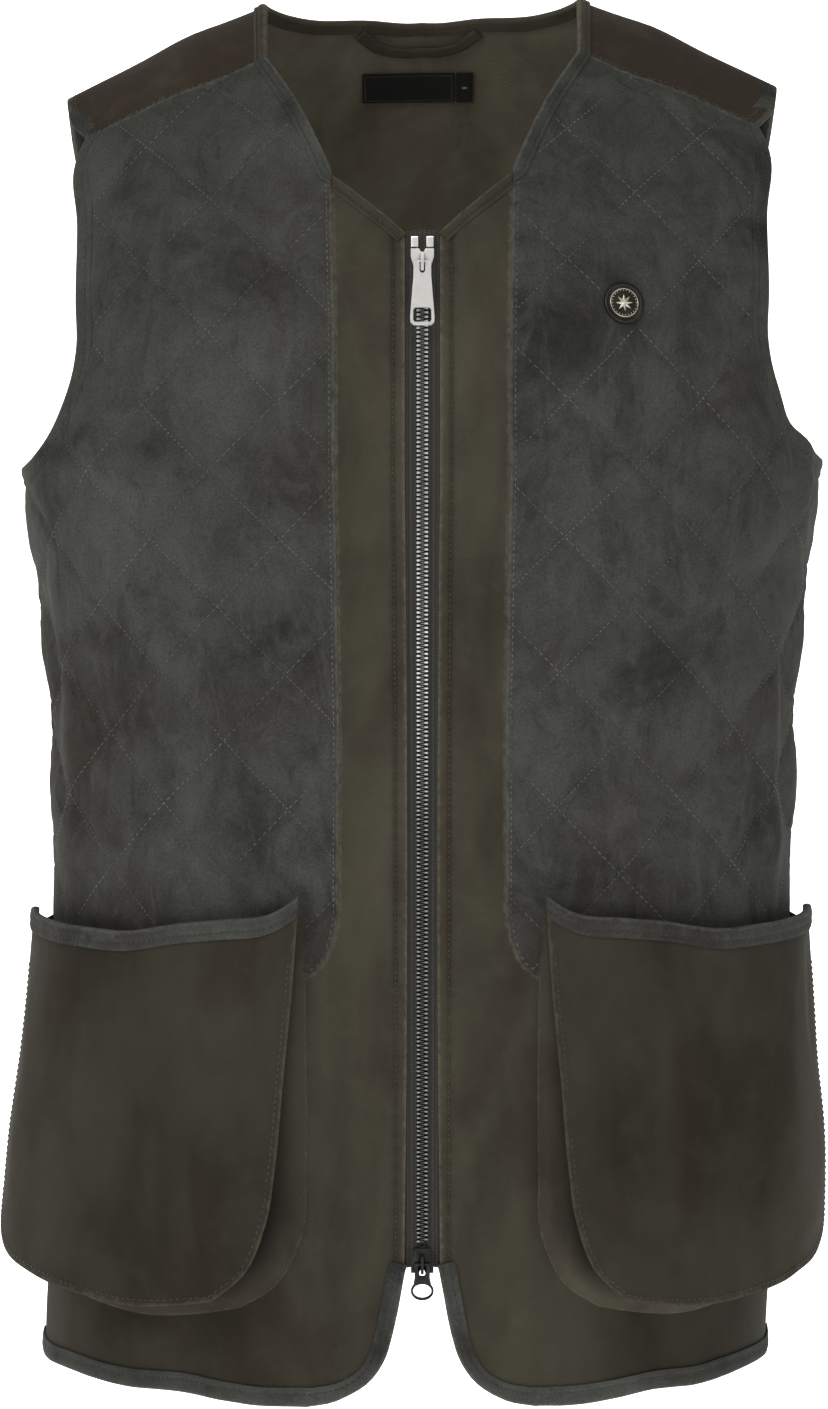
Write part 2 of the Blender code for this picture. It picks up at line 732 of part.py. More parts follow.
def build_fronts():
    grid = quilt_grid()
    for name, side in SIDES:
        suede = joined(
            neck_suede, yoke_seam, armhole_front, side_suede, suede_bottom[::-1], suede_inner[::-1]
        )[:-1]
        guides = [shortened(line, 3.0) for line in (neck_suede_in, armhole_front_in)]
        cloth_panel(
            f"front_suede_{name}", for_side(side, suede), FRONT, "suede", level(0), suede_face,
            [for_side(side, line) for line in guides], field=for_side(side, grid),
            under=for_side(side, pocket_base),
        )
        olive = joined(
            neck_olive, suede_inner, suede_bottom, side_olive, hem_front[::-1], hem_corner[::-1],
            zip_edge[::-1],
        )[:-1]
        guides = [shortened(line, 3.0) for line in (neck_olive_in, hem_front_in)]
        guides.append([(TAPE_REACH, down) for _, down in zip_edge[1:-1]])
        cloth_panel(
            f"front_olive_{name}", for_side(side, olive), FRONT, "cotton", level(0), level(CLOTH),
            [for_side(side, line) for line in guides], under=for_side(side, pocket_base),
        )


def build_back():
    left = joined(back_neck[::-1], on_back(yoke_seam), armhole_back, side_suede, side_olive, hem_back)
    outline = left + mirrored(left)[::-1][1:-1]
    guides = []
    for line in (armhole_back_in, hem_back_in, back_neck_in):
        guides += [shortened(line, 3.0), shortened(mirrored(line), 3.0)]
    cloth_panel("back", outline, BACK, "cotton", level(0), level(CLOTH), guides, under=label_grid())


def build_bindings():
    wall = (level(0), level(CLOTH))
    neck = back_neck + mirrored(back_neck)[::-1][1:]
    neck_in = back_neck_in + mirrored(back_neck_in)[::-1][1:]
    edges = (shortened(neck, SEAM), shortened(neck_in, SEAM))
    bound_edge("neck_binding_back", *edges, BACK, "cotton", wall)
    hem = [(e, i, FRONT) for e, i in zip(hem_front_line, hem_front_in)]
    hem += [(e, i, BACK) for e, i in zip(hem_back[1:], hem_back_in[1:])]
    far_side = [((-e[0], e[1]), (-i[0], i[1]), face) for e, i, face in hem[:-1]]
    rings = [binding_ring(e, i, face, wall) for e, i, face in hem + far_side[::-1]]
    strip("hem_binding", rings, False, "suede")
    for name, side in SIDES:
        for label, edge, inner, finish in (
            ("neck_binding", neck_suede, neck_suede_in, "suede"),
            ("neck_edge", neck_olive, neck_olive_in, "cotton"),
        ):
            edges = [for_side(side, shortened(line, SEAM)) for line in (edge, inner)]
            bound_edge(f"{label}_{name}", *edges, FRONT, finish, wall)
        stations = [(e, i, FRONT) for e, i in zip(armhole_front, armhole_front_in)]
        stations += [(e, i, BACK) for e, i in zip(armhole_back[::-1][1:-1], armhole_back_in[::-1][1:-1])]
        rings = [
            binding_ring((side * e[0], e[1]), (side * i[0], i[1]), face, wall) for e, i, face in stations
        ]
        strip(f"armhole_binding_{name}", rings, True, "suede")


def pocket_stand(across, down):
    return read(STAND, height_at(across, down))


def pocket_inside(across, down):
    return pocket_stand(across, down) - POCKET_WALL


def build_pockets():
    top = pocket_line(POCKET_TOP)
    outline = joined(top, pocket_rim[::-1])[:-1]
    top_in = turned_inner(
        top, POCKET_BAND, True,
        along_line(pocket_rim, POCKET_BAND), along_line(pocket_rim[::-1], POCKET_BAND),
    )
    rim = inner_line(pocket_rim, GUSSET_INSET, False)
    rim[0] = (rim[0][0], rim[0][1] + BAND_TURN)
    rim[-1] = (rim[-1][0], rim[-1][1] + BAND_TURN)
    base_in = inner_line(pocket_base, GUSSET_WALL, False)
    rim_in = inner_line(rim, GUSSET_WALL, False)
    faces = (pocket_inside, pocket_stand)
    for name, side in SIDES:
        cloth_panel(
            f"pocket_face_{name}", for_side(side, outline), FRONT, "cotton", *faces,
            [for_side(side, shortened(top_in, 3.0))], step=POCKET_STEP, under=for_side(side, rim),
        )
        edges = (for_side(side, top), for_side(side, top_in))
        bound_edge(f"pocket_band_{name}", *edges, FRONT, "suede", faces, BAND_TURNED)
        rings = []
        for corners in zip(pocket_base, rim, rim_in, base_in):
            base, front, front_in, back_in = for_side(side, corners)
            rings.append((
                off_body(*base, FRONT, CLOTH + GUSSET_SEAT),
                off_body(*front, FRONT, pocket_inside(*front) - CLEAR),
                off_body(*front_in, FRONT, pocket_inside(*front_in) - CLEAR),
                off_body(*back_in, FRONT, CLOTH + GUSSET_SEAT),
            ))
        strip(f"pocket_gusset_{name}", rings, False, "cotton")


def label_grid():
    """Corners of the neck label's and size tab's nets, row by row."""
    return [(x, down_of(x, z)) for z in LABEL_HEIGHTS for x in LABEL_COLUMNS + TAB_COLUMNS]


def build_inside_trim():
    """Hanger loop, neck label and size tab inside the back's neck."""
    faces = (level(-LABEL_GAP - LABEL_WALL), level(-LABEL_GAP))
    top, middle, bottom = LABEL_HEIGHTS
    for name, columns in (("neck_label", LABEL_COLUMNS), ("size_tab", TAB_COLUMNS)):
        rows = [(x, top) for x in columns] + [(columns[-1], middle)]
        rows += [(x, bottom) for x in columns[::-1]] + [(columns[0], middle)]
        inner = [(x, down_of(x, middle)) for x in columns[1:-1]]
        outline = [(x, down_of(x, z)) for x, z in rows]
        cloth_panel(name, outline, BACK, "label", *faces, field=[], under=inner)
    path = trace([(x, down_of(x, z)) for x, z in HANGER_PATH], 6.0)
    ways = inward_ways(path, False, True)
    rings = []
    for point, way in zip(path, ways):
        upper = np.array(point) - way * HANGER_WIDTH / 2
        lower = np.array(point) + way * HANGER_WIDTH / 2
        rings.append([
            off_body(*upper, BACK, HANGER_NEAR), off_body(*lower, BACK, HANGER_NEAR),
            off_body(*lower, BACK, HANGER_NEAR - HANGER_WALL),
            off_body(*upper, BACK, HANGER_NEAR - HANGER_WALL),
        ])
    strip("hanger_loop", rings, False, "cotton")


class Seat:
    """A place on the body's front: x across, along down the surface, out away from it."""

    def __init__(self, across, height):
        down = down_of(across, height)
        self.point = place(across, down, FRONT)
        self.out = outward(across, down, FRONT)
        along = place(across, down + 1, FRONT) - place(across, down - 1, FRONT)
        self.along = along / np.linalg.norm(along)
        self.across = np.cross(self.out, self.along)
        self.across *= math.copysign(1, self.across[0])

    def at(self, x, along, out):
        return self.point + self.across * x + self.along * along + self.out * out


def prism(outline, low, high):
    """A flat plate over an (x, along) outline between two heights off the surface."""
    count = len(outline)
    points = [(x, along, low) for x, along in outline] + [(x, along, high) for x, along in outline]
    faces = [tuple(range(count))[::-1], tuple(range(count, 2 * count))]
    faces += [(k, (k + 1) % count, (k + 1) % count + count, k + count) for k in range(count)]
    return points, faces


def block(x0, x1, a0, a1, low, high):
    return prism([(x0, a0), (x1, a0), (x1, a1), (x0, a1)], low, high)


def oval(centre, across, along, count=24):
    turns = [2 * math.pi * k / count for k in range(count)]
    return [(across * math.cos(t), centre + along * math.sin(t)) for t in turns]


def cross_bar(half, radius, along, out, count=12):
    """A round bar along x."""
    turns = [2 * math.pi * k / count for k in range(count)]
    ring = [(along + radius * math.cos(t), out + radius * math.sin(t)) for t in turns]
    points = [(-half, *spot) for spot in ring] + [(half, *spot) for spot in ring]
    faces = [tuple(range(count))[::-1], tuple(range(count, 2 * count))]
    faces += [(k, (k + 1) % count, (k + 1) % count + count, k + count) for k in range(count)]
    return points, faces


def helper(points, faces):
    mesh = bpy.data.meshes.new("shape")
    mesh.from_pydata(points, [], faces)
    shape = bmesh.new()
    shape.from_mesh(mesh)
    bmesh.ops.recalc_face_normals(shape, faces=shape.faces[:])
    shape.to_mesh(mesh)
    shape.free()
    piece = bpy.data.objects.new("shape", mesh)
    bpy.context.collection.objects.link(piece)
    return piece


def fused(added, cut=()):
    """Points and faces of the first shape with the others added to it and the cuts taken out."""
    base = helper(*added[0])
    tools = []
    for operation, shapes in (("UNION", added[1:]), ("DIFFERENCE", cut)):
        for shape in shapes:
            tool = helper(*shape)
            step = base.modifiers.new("step", "BOOLEAN")
            step.operation = operation
            step.object = tool
            tools.append(tool)
    bpy.context.view_layer.update()
    mesh = bpy.data.meshes.new_from_object(base.evaluated_get(bpy.context.evaluated_depsgraph_get()))
    points = [tuple(v.co) for v in mesh.vertices]
    faces = [tuple(p.vertices) for p in mesh.polygons]
    for piece in [base, *tools]:
        bpy.data.objects.remove(piece, do_unlink=True)
    return points, faces


def seated_piece(name, shape, seat, finish, pivot=None):
    """A hard piece made in its seat's own directions and put in place, its origin on its pivot."""
    points, faces = shape
    placed = [seat.at(*p) for p in points]
    origin = (0, 0, 0) if pivot is None else seat.at(*pivot)
    piece = make_piece(name, placed, faces, finish, origin)
    turn = np.linalg.det(np.array((seat.across, seat.along, seat.out)))
    if turn < 0:
        piece.data.flip_normals()
    return piece


def turned_block(across, along, rise, way=1):
    """A block from its three spans, its length along turned over where way is -1."""
    return block(*across, *sorted(way * a for a in along), *rise)


def slider_shape(way, pivot_along):
    """Slider body; way is 1 where its wide mouth points up and -1 where it points down."""
    mouth = [(x, way * along) for x, along in SLIDER_FACE]
    flange, flange_along, flange_rise = SLIDER_FLANGE
    far_flange = tuple(-x for x in flange[::-1])
    shapes = [
        prism(mouth, *SLIDER_FACE_RISE),
        turned_block(flange, flange_along, flange_rise, way),
        turned_block(far_flange, flange_along, flange_rise, way),
        turned_block(*SLIDER_POST, way),
        turned_block(*SLIDER_BACK, way),
    ]
    lug = (-LUG_HALF, LUG_HALF)
    for low, high in ((-LUG_FAR, -LUG_NEAR), (LUG_NEAR, LUG_FAR)):
        shapes.append(turned_block(lug, (pivot_along + low, pivot_along + high), LUG_RISE))
    bridge = (pivot_along - BRIDGE_HALF, pivot_along + BRIDGE_HALF)
    shapes.append(turned_block(lug, bridge, BRIDGE_RISE))
    return fused(shapes)


def build_zip():
    ends = [down_of(TAPE_REACH, z) for z in (TAPE_TOP, TAPE_SHOULDER, TAPE_FOOT, TAPE_BOTTOM)]
    stations = [down for _, down in zip_edge if ends[1] + 4 < down < ends[2] - 4]
    inner = [(TAPE_GAP, down) for down in (ends[0], *stations, ends[3])]
    neck = [(TAPE_NECK, ends[3]), (TAPE_NECK, ends[2])]
    outer = [(TAPE_REACH, down) for down in (ends[2], *stations[::-1], ends[1])]
    outline = inner + neck + outer + [(TAPE_NECK, ends[1]), (TAPE_NECK, ends[0])]
    guide = [(TAPE_NECK, down) for down in stations]
    for name, side in SIDES:
        cloth_panel(
            f"zip_tape_{name}", for_side(side, outline), FRONT, "tape",
            level(-CLEAR - TAPE_WALL), level(-CLEAR),
            [for_side(side, guide)], field=[],
        )
    rings = []
    chain = [down_of(0, CHAIN_TOP), down_of(0, CHAIN_BOTTOM)]
    chain[1:1] = [down for down in stations if chain[0] + 3 < down < chain[1] - 3]
    for down in chain:
        rings.append([off_body(share * CHAIN_HALF, down, FRONT, rise) for share, rise in CHAIN_SECTION])
    strip("zip_chain", rings, False, "steel")
    top = Seat(0, SLIDER_TOP)
    foot = Seat(0, SLIDER_FOOT)
    seated_piece("zip_slider_top", slider_shape(1, 0.0), top, "steel")
    seated_piece("zip_slider_bottom", slider_shape(-1, FOOT_PIVOT), foot, "dark_steel")
    for name, side in SIDES:
        across, along, rise = STOP_BLOCK
        stop = turned_block(sorted(side * x for x in across), along, rise)
        seated_piece(f"zip_stop_{name}", stop, top, "steel")
    build_pulls(top, foot)


def moved_along(outline, distance):
    return [(x, along + distance) for x, along in outline]


def build_pulls(top, foot):
    low = PIVOT_OUT - PULL_THICK / 2
    high = PIVOT_OUT + PULL_THICK / 2
    tab = fused(
        [prism(PULL_PLATE, low, high)],
        [prism(PULL_WINDOW, low - 1, high + 1), prism(PULL_SLOT, low - 1, high + 1)],
    )
    tab = fused([tab, cross_bar(PIVOT_HALF, PIVOT_RADIUS, 0.0, PIVOT_OUT)])
    seated_piece("zip_pull_top", tab, top, "steel", (0, 0, PIVOT_OUT))
    arms = moved_along(RING_ARMS, FOOT_PIVOT)
    eye = moved_along(RING_EYE, FOOT_PIVOT)
    centre = FOOT_PIVOT + RING_CENTRE
    ring = fused(
        [prism(arms, low, high), prism(oval(centre, *RING_OUTER), low, high)],
        [prism(eye, low - 1, high + 1), prism(oval(centre, *RING_INNER), low - 1, high + 1)],
    )
    ring = fused([ring, cross_bar(PIVOT_HALF, PIVOT_RADIUS, FOOT_PIVOT, PIVOT_OUT)])
    seated_piece("zip_pull_bottom", ring, foot, "dark_steel", (0, FOOT_PIVOT, PIVOT_OUT))


def build_badge():
    """Round badge on the left chest, bare but for a raised rim."""
    out = outward(*BADGE_SPOT, FRONT)
    side = np.cross(out, (0.0, 0.0, 1.0))
    side /= np.linalg.norm(side)
    up = np.cross(side, out)
    base = place(*BADGE_SPOT, FRONT) + out * CLOTH
    turns = [2 * math.pi * k / BADGE_SIDES for k in range(BADGE_SIDES)]
    points = []
    for inside_rim, rise in BADGE_SECTION:
        radius = BADGE_RADIUS - inside_rim
        points += [base + out * rise + (side * math.cos(t) + up * math.sin(t)) * radius for t in turns]
    foot = len(points)
    points += [base + out * BADGE_FOOT, base + out * BADGE_FACE]
    last = foot - BADGE_SIDES
    faces = []
    for k in range(BADGE_SIDES):
        ahead = (k + 1) % BADGE_SIDES
        faces.append((ahead, k, foot))
        faces.append((last + k, last + ahead, foot + 1))
        for row in range(0, last, BADGE_SIDES):
            below = (row + k, row + ahead)
            faces.append((*below, row + BADGE_SIDES + ahead, row + BADGE_SIDES + k))
    badge = make_piece("chest_badge", points, faces, "dark_steel")
    shape = bmesh.new()
    shape.from_mesh(badge.data)
    bmesh.ops.recalc_face_normals(shape, faces=shape.faces[:])
    shape.to_mesh(badge.data)
    shape.free()


for old in list(bpy.data.objects):
    bpy.data.objects.remove(old, do_unlink=True)
build_fronts()
build_back()
build_bindings()
build_pockets()
build_inside_trim()
build_zip()
build_badge()
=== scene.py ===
# Hunting vest of quilted suede and olive cotton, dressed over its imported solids.
# The cloth is draped on one body form; every piece keeps its flat pattern as its UV map (1 unit = 100 mm).
import math

import bmesh
import bpy
import numpy as np
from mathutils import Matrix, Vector
from mathutils.geometry import delaunay_2d_cdt


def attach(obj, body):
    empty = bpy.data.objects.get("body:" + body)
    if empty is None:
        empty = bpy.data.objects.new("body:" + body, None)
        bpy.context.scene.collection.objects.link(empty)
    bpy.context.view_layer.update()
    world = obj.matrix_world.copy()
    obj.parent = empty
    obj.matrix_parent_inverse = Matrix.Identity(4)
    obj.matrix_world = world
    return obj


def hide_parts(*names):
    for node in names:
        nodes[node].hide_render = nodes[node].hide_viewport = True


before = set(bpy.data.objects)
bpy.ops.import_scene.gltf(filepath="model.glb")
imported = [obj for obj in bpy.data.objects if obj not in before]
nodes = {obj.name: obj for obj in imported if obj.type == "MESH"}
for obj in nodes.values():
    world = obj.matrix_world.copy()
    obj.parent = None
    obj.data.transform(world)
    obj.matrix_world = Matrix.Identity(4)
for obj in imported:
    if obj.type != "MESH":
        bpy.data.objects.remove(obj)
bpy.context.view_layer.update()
front = -1
back = 1
mm = 0.001


# the body form
bodyForm = {
    "power": 2.3,  # how square the level section is
    "shoulderPower": 1.6,
    "shoulderFall": 170.0,
    "shoulderDepth": 112.0,
    "typicalWidth": 200.0,
    "typicalDepth": 124.0,
    "sections": (  # height, half width, front depth, back depth
        (-760, 190.0, 122, 120), (-713, 190.0, 122, 119), (-600, 190.5, 120, 113), (-472, 191.5, 121, 108),
        (-400, 192.0, 124, 109), (-360, 192.5, 127, 113), (-330, 196.0, 129, 116), (-295, 199.0, 130, 119),
        (-262, 203.0, 130, 121), (-240, 207.0, 129, 122), (-200, 207.0, 127, 122), (-150, 206.0, 122, 120),
        (-100, 206.0, 116, 115), (-50, 206.0, 109, 110), (0, 206.0, 102, 107), (60, 206.0, 98, 104),
    ),
    "ridge": (  # distance from the middle, height of the shoulder
        (0, 30), (30, 25), (60, 11), (82, 0), (100, -7), (120, -14), (147, -28), (178, -43), (188, -48), (230, -70),
    ),
    "hang": (  # height, swing to the side, lean
        (-760, -9.0, 0.004), (-713, -9.0, 0.004), (-600, -3.0, 0.004), (-450, 0.0, 0.005), (-240, 0.0, 0.011),
        (0, 0.0, 0.018), (60, 0.0, 0.018),
    ),
}


def smoothValue(x, xs, ys):
    slopes = np.gradient(ys, xs)
    x = min(max(x, xs[0]), xs[-1])
    i = min(max(int(np.searchsorted(xs, x)) - 1, 0), len(xs) - 2)
    run = xs[i + 1] - xs[i]
    t = (x - xs[i]) / run
    rise = (3 - 2 * t) * t * t
    return (ys[i] * (1 - rise) + ys[i + 1] * rise + t * (1 - t) ** 2 * run * slopes[i]
            + t * t * (t - 1) * run * slopes[i + 1])


def denseColumn(rows, column):
    xs = np.array([row[0] for row in rows], float)
    ys = np.array([row[column] for row in rows], float)
    fine = np.arange(xs[0], xs[-1] + 1.0, 1.0)
    return fine, np.array([smoothValue(x, xs, ys) for x in fine])


def quarterCurve(across, along, power):
    turn = np.linspace(0, math.pi / 2, 361)
    out = np.sin(turn) ** (2 / power)
    left = np.cos(turn) ** (2 / power)
    steps = np.hypot(np.diff(out) * across, np.diff(left) * along)
    return np.concatenate(([0], np.cumsum(steps))), out, left


section = quarterCurve(bodyForm["typicalWidth"], bodyForm["typicalDepth"], bodyForm["power"])
shoulder = quarterCurve(bodyForm["shoulderDepth"], bodyForm["shoulderFall"], bodyForm["shoulderPower"])
quarter = section[0][-1]  # length round from the middle to the side
shoulderRun = shoulder[0][-1]
widths = denseColumn(bodyForm["sections"], 1)
frontDepths = denseColumn(bodyForm["sections"], 2)
backDepths = denseColumn(bodyForm["sections"], 3)
ridges = denseColumn(bodyForm["ridge"], 1)
sway = denseColumn(bodyForm["hang"], 1)
lean = denseColumn(bodyForm["hang"], 2)


def formPoints(across, down, face):  # across is the length round, down the length from the shoulder ridge
    across, down, face = np.broadcast_arrays(np.asarray(across, float), np.asarray(down, float), face)
    side = np.where(across >= 0, 1.0, -1.0)
    across = np.abs(across)
    past = across > quarter
    across = np.where(past, 2 * quarter - across, across)
    face = np.where(past, -face, face)
    face = np.where(down < 0, -face, face)
    down = np.abs(down)
    share = np.interp(across, section[0], section[1])
    depthShare = np.interp(across, section[0], section[2])
    reach = np.interp(down, shoulder[0], shoulder[1])
    fall = bodyForm["shoulderFall"] * (1 - np.interp(down, shoulder[0], shoulder[2]))
    fall = fall + np.maximum(down - shoulderRun, 0)
    x = bodyForm["typicalWidth"] * share
    for _ in range(4):
        z = np.interp(x, *ridges) - fall
        x = np.interp(z, *widths) * share
    depth = np.where(face < 0, np.interp(z, *frontDepths), np.interp(z, *backDepths))
    xOut = side * x + np.interp(z, *sway) * share * share
    return np.stack((xOut, face * depth * depthShare * reach, z + np.interp(z, *lean) * side * x), axis=-1)


def formNormals(across, down, face):
    across = np.asarray(across, float)
    down = np.asarray(down, float)
    roundWay = formPoints(across + 0.4, down, face) - formPoints(across - 0.4, down, face)
    downWay = formPoints(across, down + 0.4, face) - formPoints(across, down - 0.4, face)
    normal = np.cross(roundWay, downWay) * face
    return normal / np.linalg.norm(normal, axis=-1, keepdims=True)


def offForm(across, down, face, rise):
    normal = formNormals(across, down, face)
    return formPoints(across, down, face) + normal * np.asarray(rise, float)[..., None]


def heightAt(across, down):
    return formPoints(across, down, front)[..., 2]


def shoulderOffset(across):
    share = np.interp(np.abs(across), section[0], section[1])
    return shoulderRun - bodyForm["shoulderFall"] + np.interp(bodyForm["typicalWidth"] * share, *ridges)


def downOf(across, height):
    share = np.interp(np.abs(across), section[0], section[1])
    width = np.interp(height, *widths)
    fall = np.maximum(np.interp(width * share, *ridges) - height, 0)
    onShoulder = np.interp(fall / bodyForm["shoulderFall"], 1 - shoulder[2], shoulder[0])
    return np.where(fall < bodyForm["shoulderFall"], onShoulder, shoulderRun + fall - bodyForm["shoulderFall"])


def onForm(x, height):
    share = min(x / float(np.interp(height, *widths)), 1.0)
    across = float(np.interp(share, section[1], section[0]))
    return across, float(downOf(across, height))


def runAlong(line):  # length from the start to each point
    return np.concatenate(([0], np.cumsum(np.hypot(*np.diff(line, axis=0).T))))


def traceLine(points, step):
    points = np.array(points, float)
    lengths = runAlong(points)
    fine = np.linspace(0, lengths[-1], 40 * len(points))
    curve = np.array([[smoothValue(t, lengths, points[:, k]) for k in (0, 1)] for t in fine])
    run = runAlong(curve)
    even = np.linspace(0, run[-1], max(1, round(run[-1] / step)) + 1)
    return np.stack((np.interp(even, run, curve[:, 0]), np.interp(even, run, curve[:, 1])), axis=1)


def cutLine(rows, step=4.0):  # rows of distance from the middle and height
    return traceLine([onForm(*row) for row in rows], step)


def roundLine(rows, step=4.0):  # rows of length round and height
    return traceLine([(row[0], float(downOf(*row))) for row in rows], step)


def joinLines(*lines):
    return np.concatenate([lines[0]] + [line[1:] for line in lines[1:]])


def mirrored(line):
    return np.array(line) * (-1, 1)


def forSide(side, line):
    return np.array(line) if side > 0 else mirrored(line)


def signedArea(loop):
    after = np.roll(loop, -1, axis=0)
    return 0.5 * float(np.sum(loop[:, 0] * after[:, 1] - after[:, 0] * loop[:, 1]))


def sideWays(line, closed, leftSide):
    line = np.array(line, float)
    before = np.roll(line, 1, axis=0)
    after = np.roll(line, -1, axis=0)
    if not closed:
        before[0] = line[0] - (line[1] - line[0])
        after[-1] = line[-1] + (line[-1] - line[-2])
    first = line - before
    second = after - line
    first /= np.linalg.norm(first, axis=1, keepdims=True)
    second /= np.linalg.norm(second, axis=1, keepdims=True)
    turn = 1 if leftSide else -1
    first = np.stack((-first[:, 1], first[:, 0]), axis=1) * turn
    second = np.stack((-second[:, 1], second[:, 0]), axis=1) * turn
    middle = first + second
    middle /= np.linalg.norm(middle, axis=1, keepdims=True)
    return middle / np.maximum(np.sum(middle * first, axis=1), 0.5)[:, None]


def offsetLine(line, width, leftSide, start=None, end=None):
    found = np.array(line) + sideWays(line, False, leftSide) * width
    if start is not None:
        found[0] = start
    if end is not None:
        found[-1] = end
    return found


def movedIn(loop, distance):
    return loop + sideWays(loop, True, signedArea(loop) > 0) * distance


def gapToLine(points, line, closed=False):
    points = np.asarray(points, float).reshape(-1, 2)
    a = np.array(line)
    b = np.roll(a, -1, axis=0)
    if not closed:
        a = a[:-1]
        b = b[:-1]
    span = b - a
    best = np.full(len(points), 1e9)
    size = np.maximum(np.sum(span * span, axis=1), 1e-12)
    for first in range(0, len(points), 2000):
        block = points[first:first + 2000, None, :]
        share = np.clip(np.sum((block - a) * span, axis=2) / size, 0, 1)
        best[first:first + 2000] = np.min(np.linalg.norm(block - a - share[..., None] * span, axis=2), axis=1)
    return best


def insideLoop(points, loop):
    x = points[:, 0]
    y = points[:, 1]
    found = np.zeros(len(points), bool)
    for (x0, y0), (x1, y1) in zip(loop, np.roll(loop, -1, axis=0)):
        if y0 == y1:
            continue
        crosses = (y0 > y) != (y1 > y)
        found ^= crosses & (x < x0 + (y - y0) * (x1 - x0) / (y1 - y0))
    return found


def alongLine(line, distance):
    run = runAlong(line)
    return np.array([np.interp(distance, run, line[:, k]) for k in (0, 1)])


def lineLength(line):
    return float(np.sum(np.hypot(*np.diff(line, axis=0).T)))


# the cut
cut = {
    "cloth": 1.6, "seam": 0.01, "gap": 0.4, "armholeBinding": 9.4, "neckBinding": 4.8, "hemBinding": 8.0,
    "neckOlive": ((8.6, -117.5), (13, -113.5), (28, -101), (45.5, -88)),
    "neckSuede": ((45.5, -88), (61, -56), (81, -27)),
    "yoke": ((81, -27), (116, -42), (141, -52), (172, -66)),
    "armholeFront": ((172, -66), (177.5, -80), (175.5, -110), (175.5, -150), (175, -175), (178, -191),
                     (183, -205), (190, -219), (198, -230), (203.5, -236), (207, -239)),
    "armholeBack": ((172, -66), (180.5, -58), (184, -46), (183, -66), (180, -90), (178, -125), (178, -165),
                    (180, -191), (185, -207), (193, -222), (203.5, -235), (207, -239)),
    "suedeInner": ((45.5, -88), (44, -200), (43, -300), (42.5, -440)),
    "suedeRound": ((42.5, -440), (44, -470), (50, -487), (62, -497)),
    "suedeBottom": ((62, -497), (90, -505), (150, -510), (192, -511)),
    "zipEdge": ((8.6, -117.5), (8.6, -200), (8.6, -560), (9.6, -642)),
    "hemCorner": ((9.6, -642), (13, -661), (17, -680), (21, -692), (29, -703), (43, -711.5), (58, -715)),
    "hemFront": ((58, -715), (95, -714), (143, -711), (176, -708), (190.5, -706)),
    "hemBack": ((190.5, -706), (176, -704), (143, -699), (95, -692), (45, -687), (0, -686)),
    "backNeckDrop": 9.5,
    "backNeckCurve": 1.65,  # 2 is an ellipse, less is flatter across
}

neckOlive = cutLine(cut["neckOlive"])
neckSuede = cutLine(cut["neckSuede"])
yokeSeam = cutLine(cut["yoke"])
armholeFront = cutLine(cut["armholeFront"])
suedeInner = joinLines(cutLine(cut["suedeInner"]), cutLine(cut["suedeRound"], 3.0))
suedeBottom = cutLine(cut["suedeBottom"])
hemCorner = cutLine(cut["hemCorner"])
hemFront = cutLine(cut["hemFront"])
zipEdge = roundLine(cut["zipEdge"])
neckOlive[0] = zipEdge[0]
hemCorner[0] = zipEdge[-1]
sideTop = armholeFront[-1][1]
sideLow = suedeBottom[-1][1]
hemSide = hemFront[-1][1]
sideSuede = traceLine([(quarter, sideTop), (quarter, sideLow)], 4.0)
sideOlive = traceLine([(quarter, sideLow), (quarter, hemSide)], 4.0)
armholeFront[-1] = sideSuede[0]
suedeBottom[-1] = sideSuede[-1]
hemFront[-1] = sideOlive[-1]

ridgeNeck = (onForm(82, 0)[0], 0.0)
backCentre = (0.0, float(downOf(0.0, -cut["backNeckDrop"])))
neckPower = 2 / cut["backNeckCurve"]
neckTurn = [(ridgeNeck[0] * abs(math.cos(t)) ** neckPower, backCentre[1] * math.sin(t) ** neckPower)
            for t in np.linspace(0, math.pi / 2, 9)]
neckTurn[-1] = backCentre
backNeck = joinLines(traceLine([(neckSuede[-1][0], -neckSuede[-1][1]), ridgeNeck], 4.0), traceLine(neckTurn, 4.0))
backRows = [onForm(*row) for row in cut["armholeBack"]]
backRows[:3] = [(yokeSeam[-1][0], -yokeSeam[-1][1]), (backRows[1][0], -backRows[1][1]), (backRows[2][0], 0.0)]
armholeBack = traceLine(backRows, 4.0)
armholeBack[-1] = sideSuede[0]
hemBack = cutLine(cut["hemBack"])
hemBack[0] = sideOlive[-1]
hemBack[-1] = (0.0, hemBack[-1][1])

underarmIn = (quarter, sideTop + cut["armholeBinding"])
yokeArmIn = alongLine(yokeSeam[::-1], cut["armholeBinding"])
yokeNeckIn = alongLine(yokeSeam, cut["neckBinding"])
neckJoinIn = alongLine(suedeInner, cut["neckBinding"])
hemSideIn = (quarter, hemSide - cut["hemBinding"])
armholeFrontIn = offsetLine(armholeFront, cut["armholeBinding"], True, yokeArmIn, underarmIn)
armholeBackIn = offsetLine(armholeBack, cut["armholeBinding"], True, (yokeArmIn[0], -yokeArmIn[1]), underarmIn)
neckSuedeIn = offsetLine(neckSuede, cut["neckBinding"], True, neckJoinIn, yokeNeckIn)
neckOliveIn = offsetLine(neckOlive, cut["neckBinding"], True, None, neckJoinIn)
backNeckIn = offsetLine(backNeck, cut["neckBinding"], False, (yokeNeckIn[0], -yokeNeckIn[1]),
                        (0.0, backNeck[-1][1] + cut["neckBinding"]))
hemFrontLine = joinLines(hemCorner, hemFront)
hemFrontIn = offsetLine(hemFrontLine, cut["hemBinding"], False, None, hemSideIn)
hemBackIn = offsetLine(hemBack, cut["hemBinding"], True, hemSideIn, (0.0, hemBack[-1][1] - cut["hemBinding"]))
print("cut lines laid out")


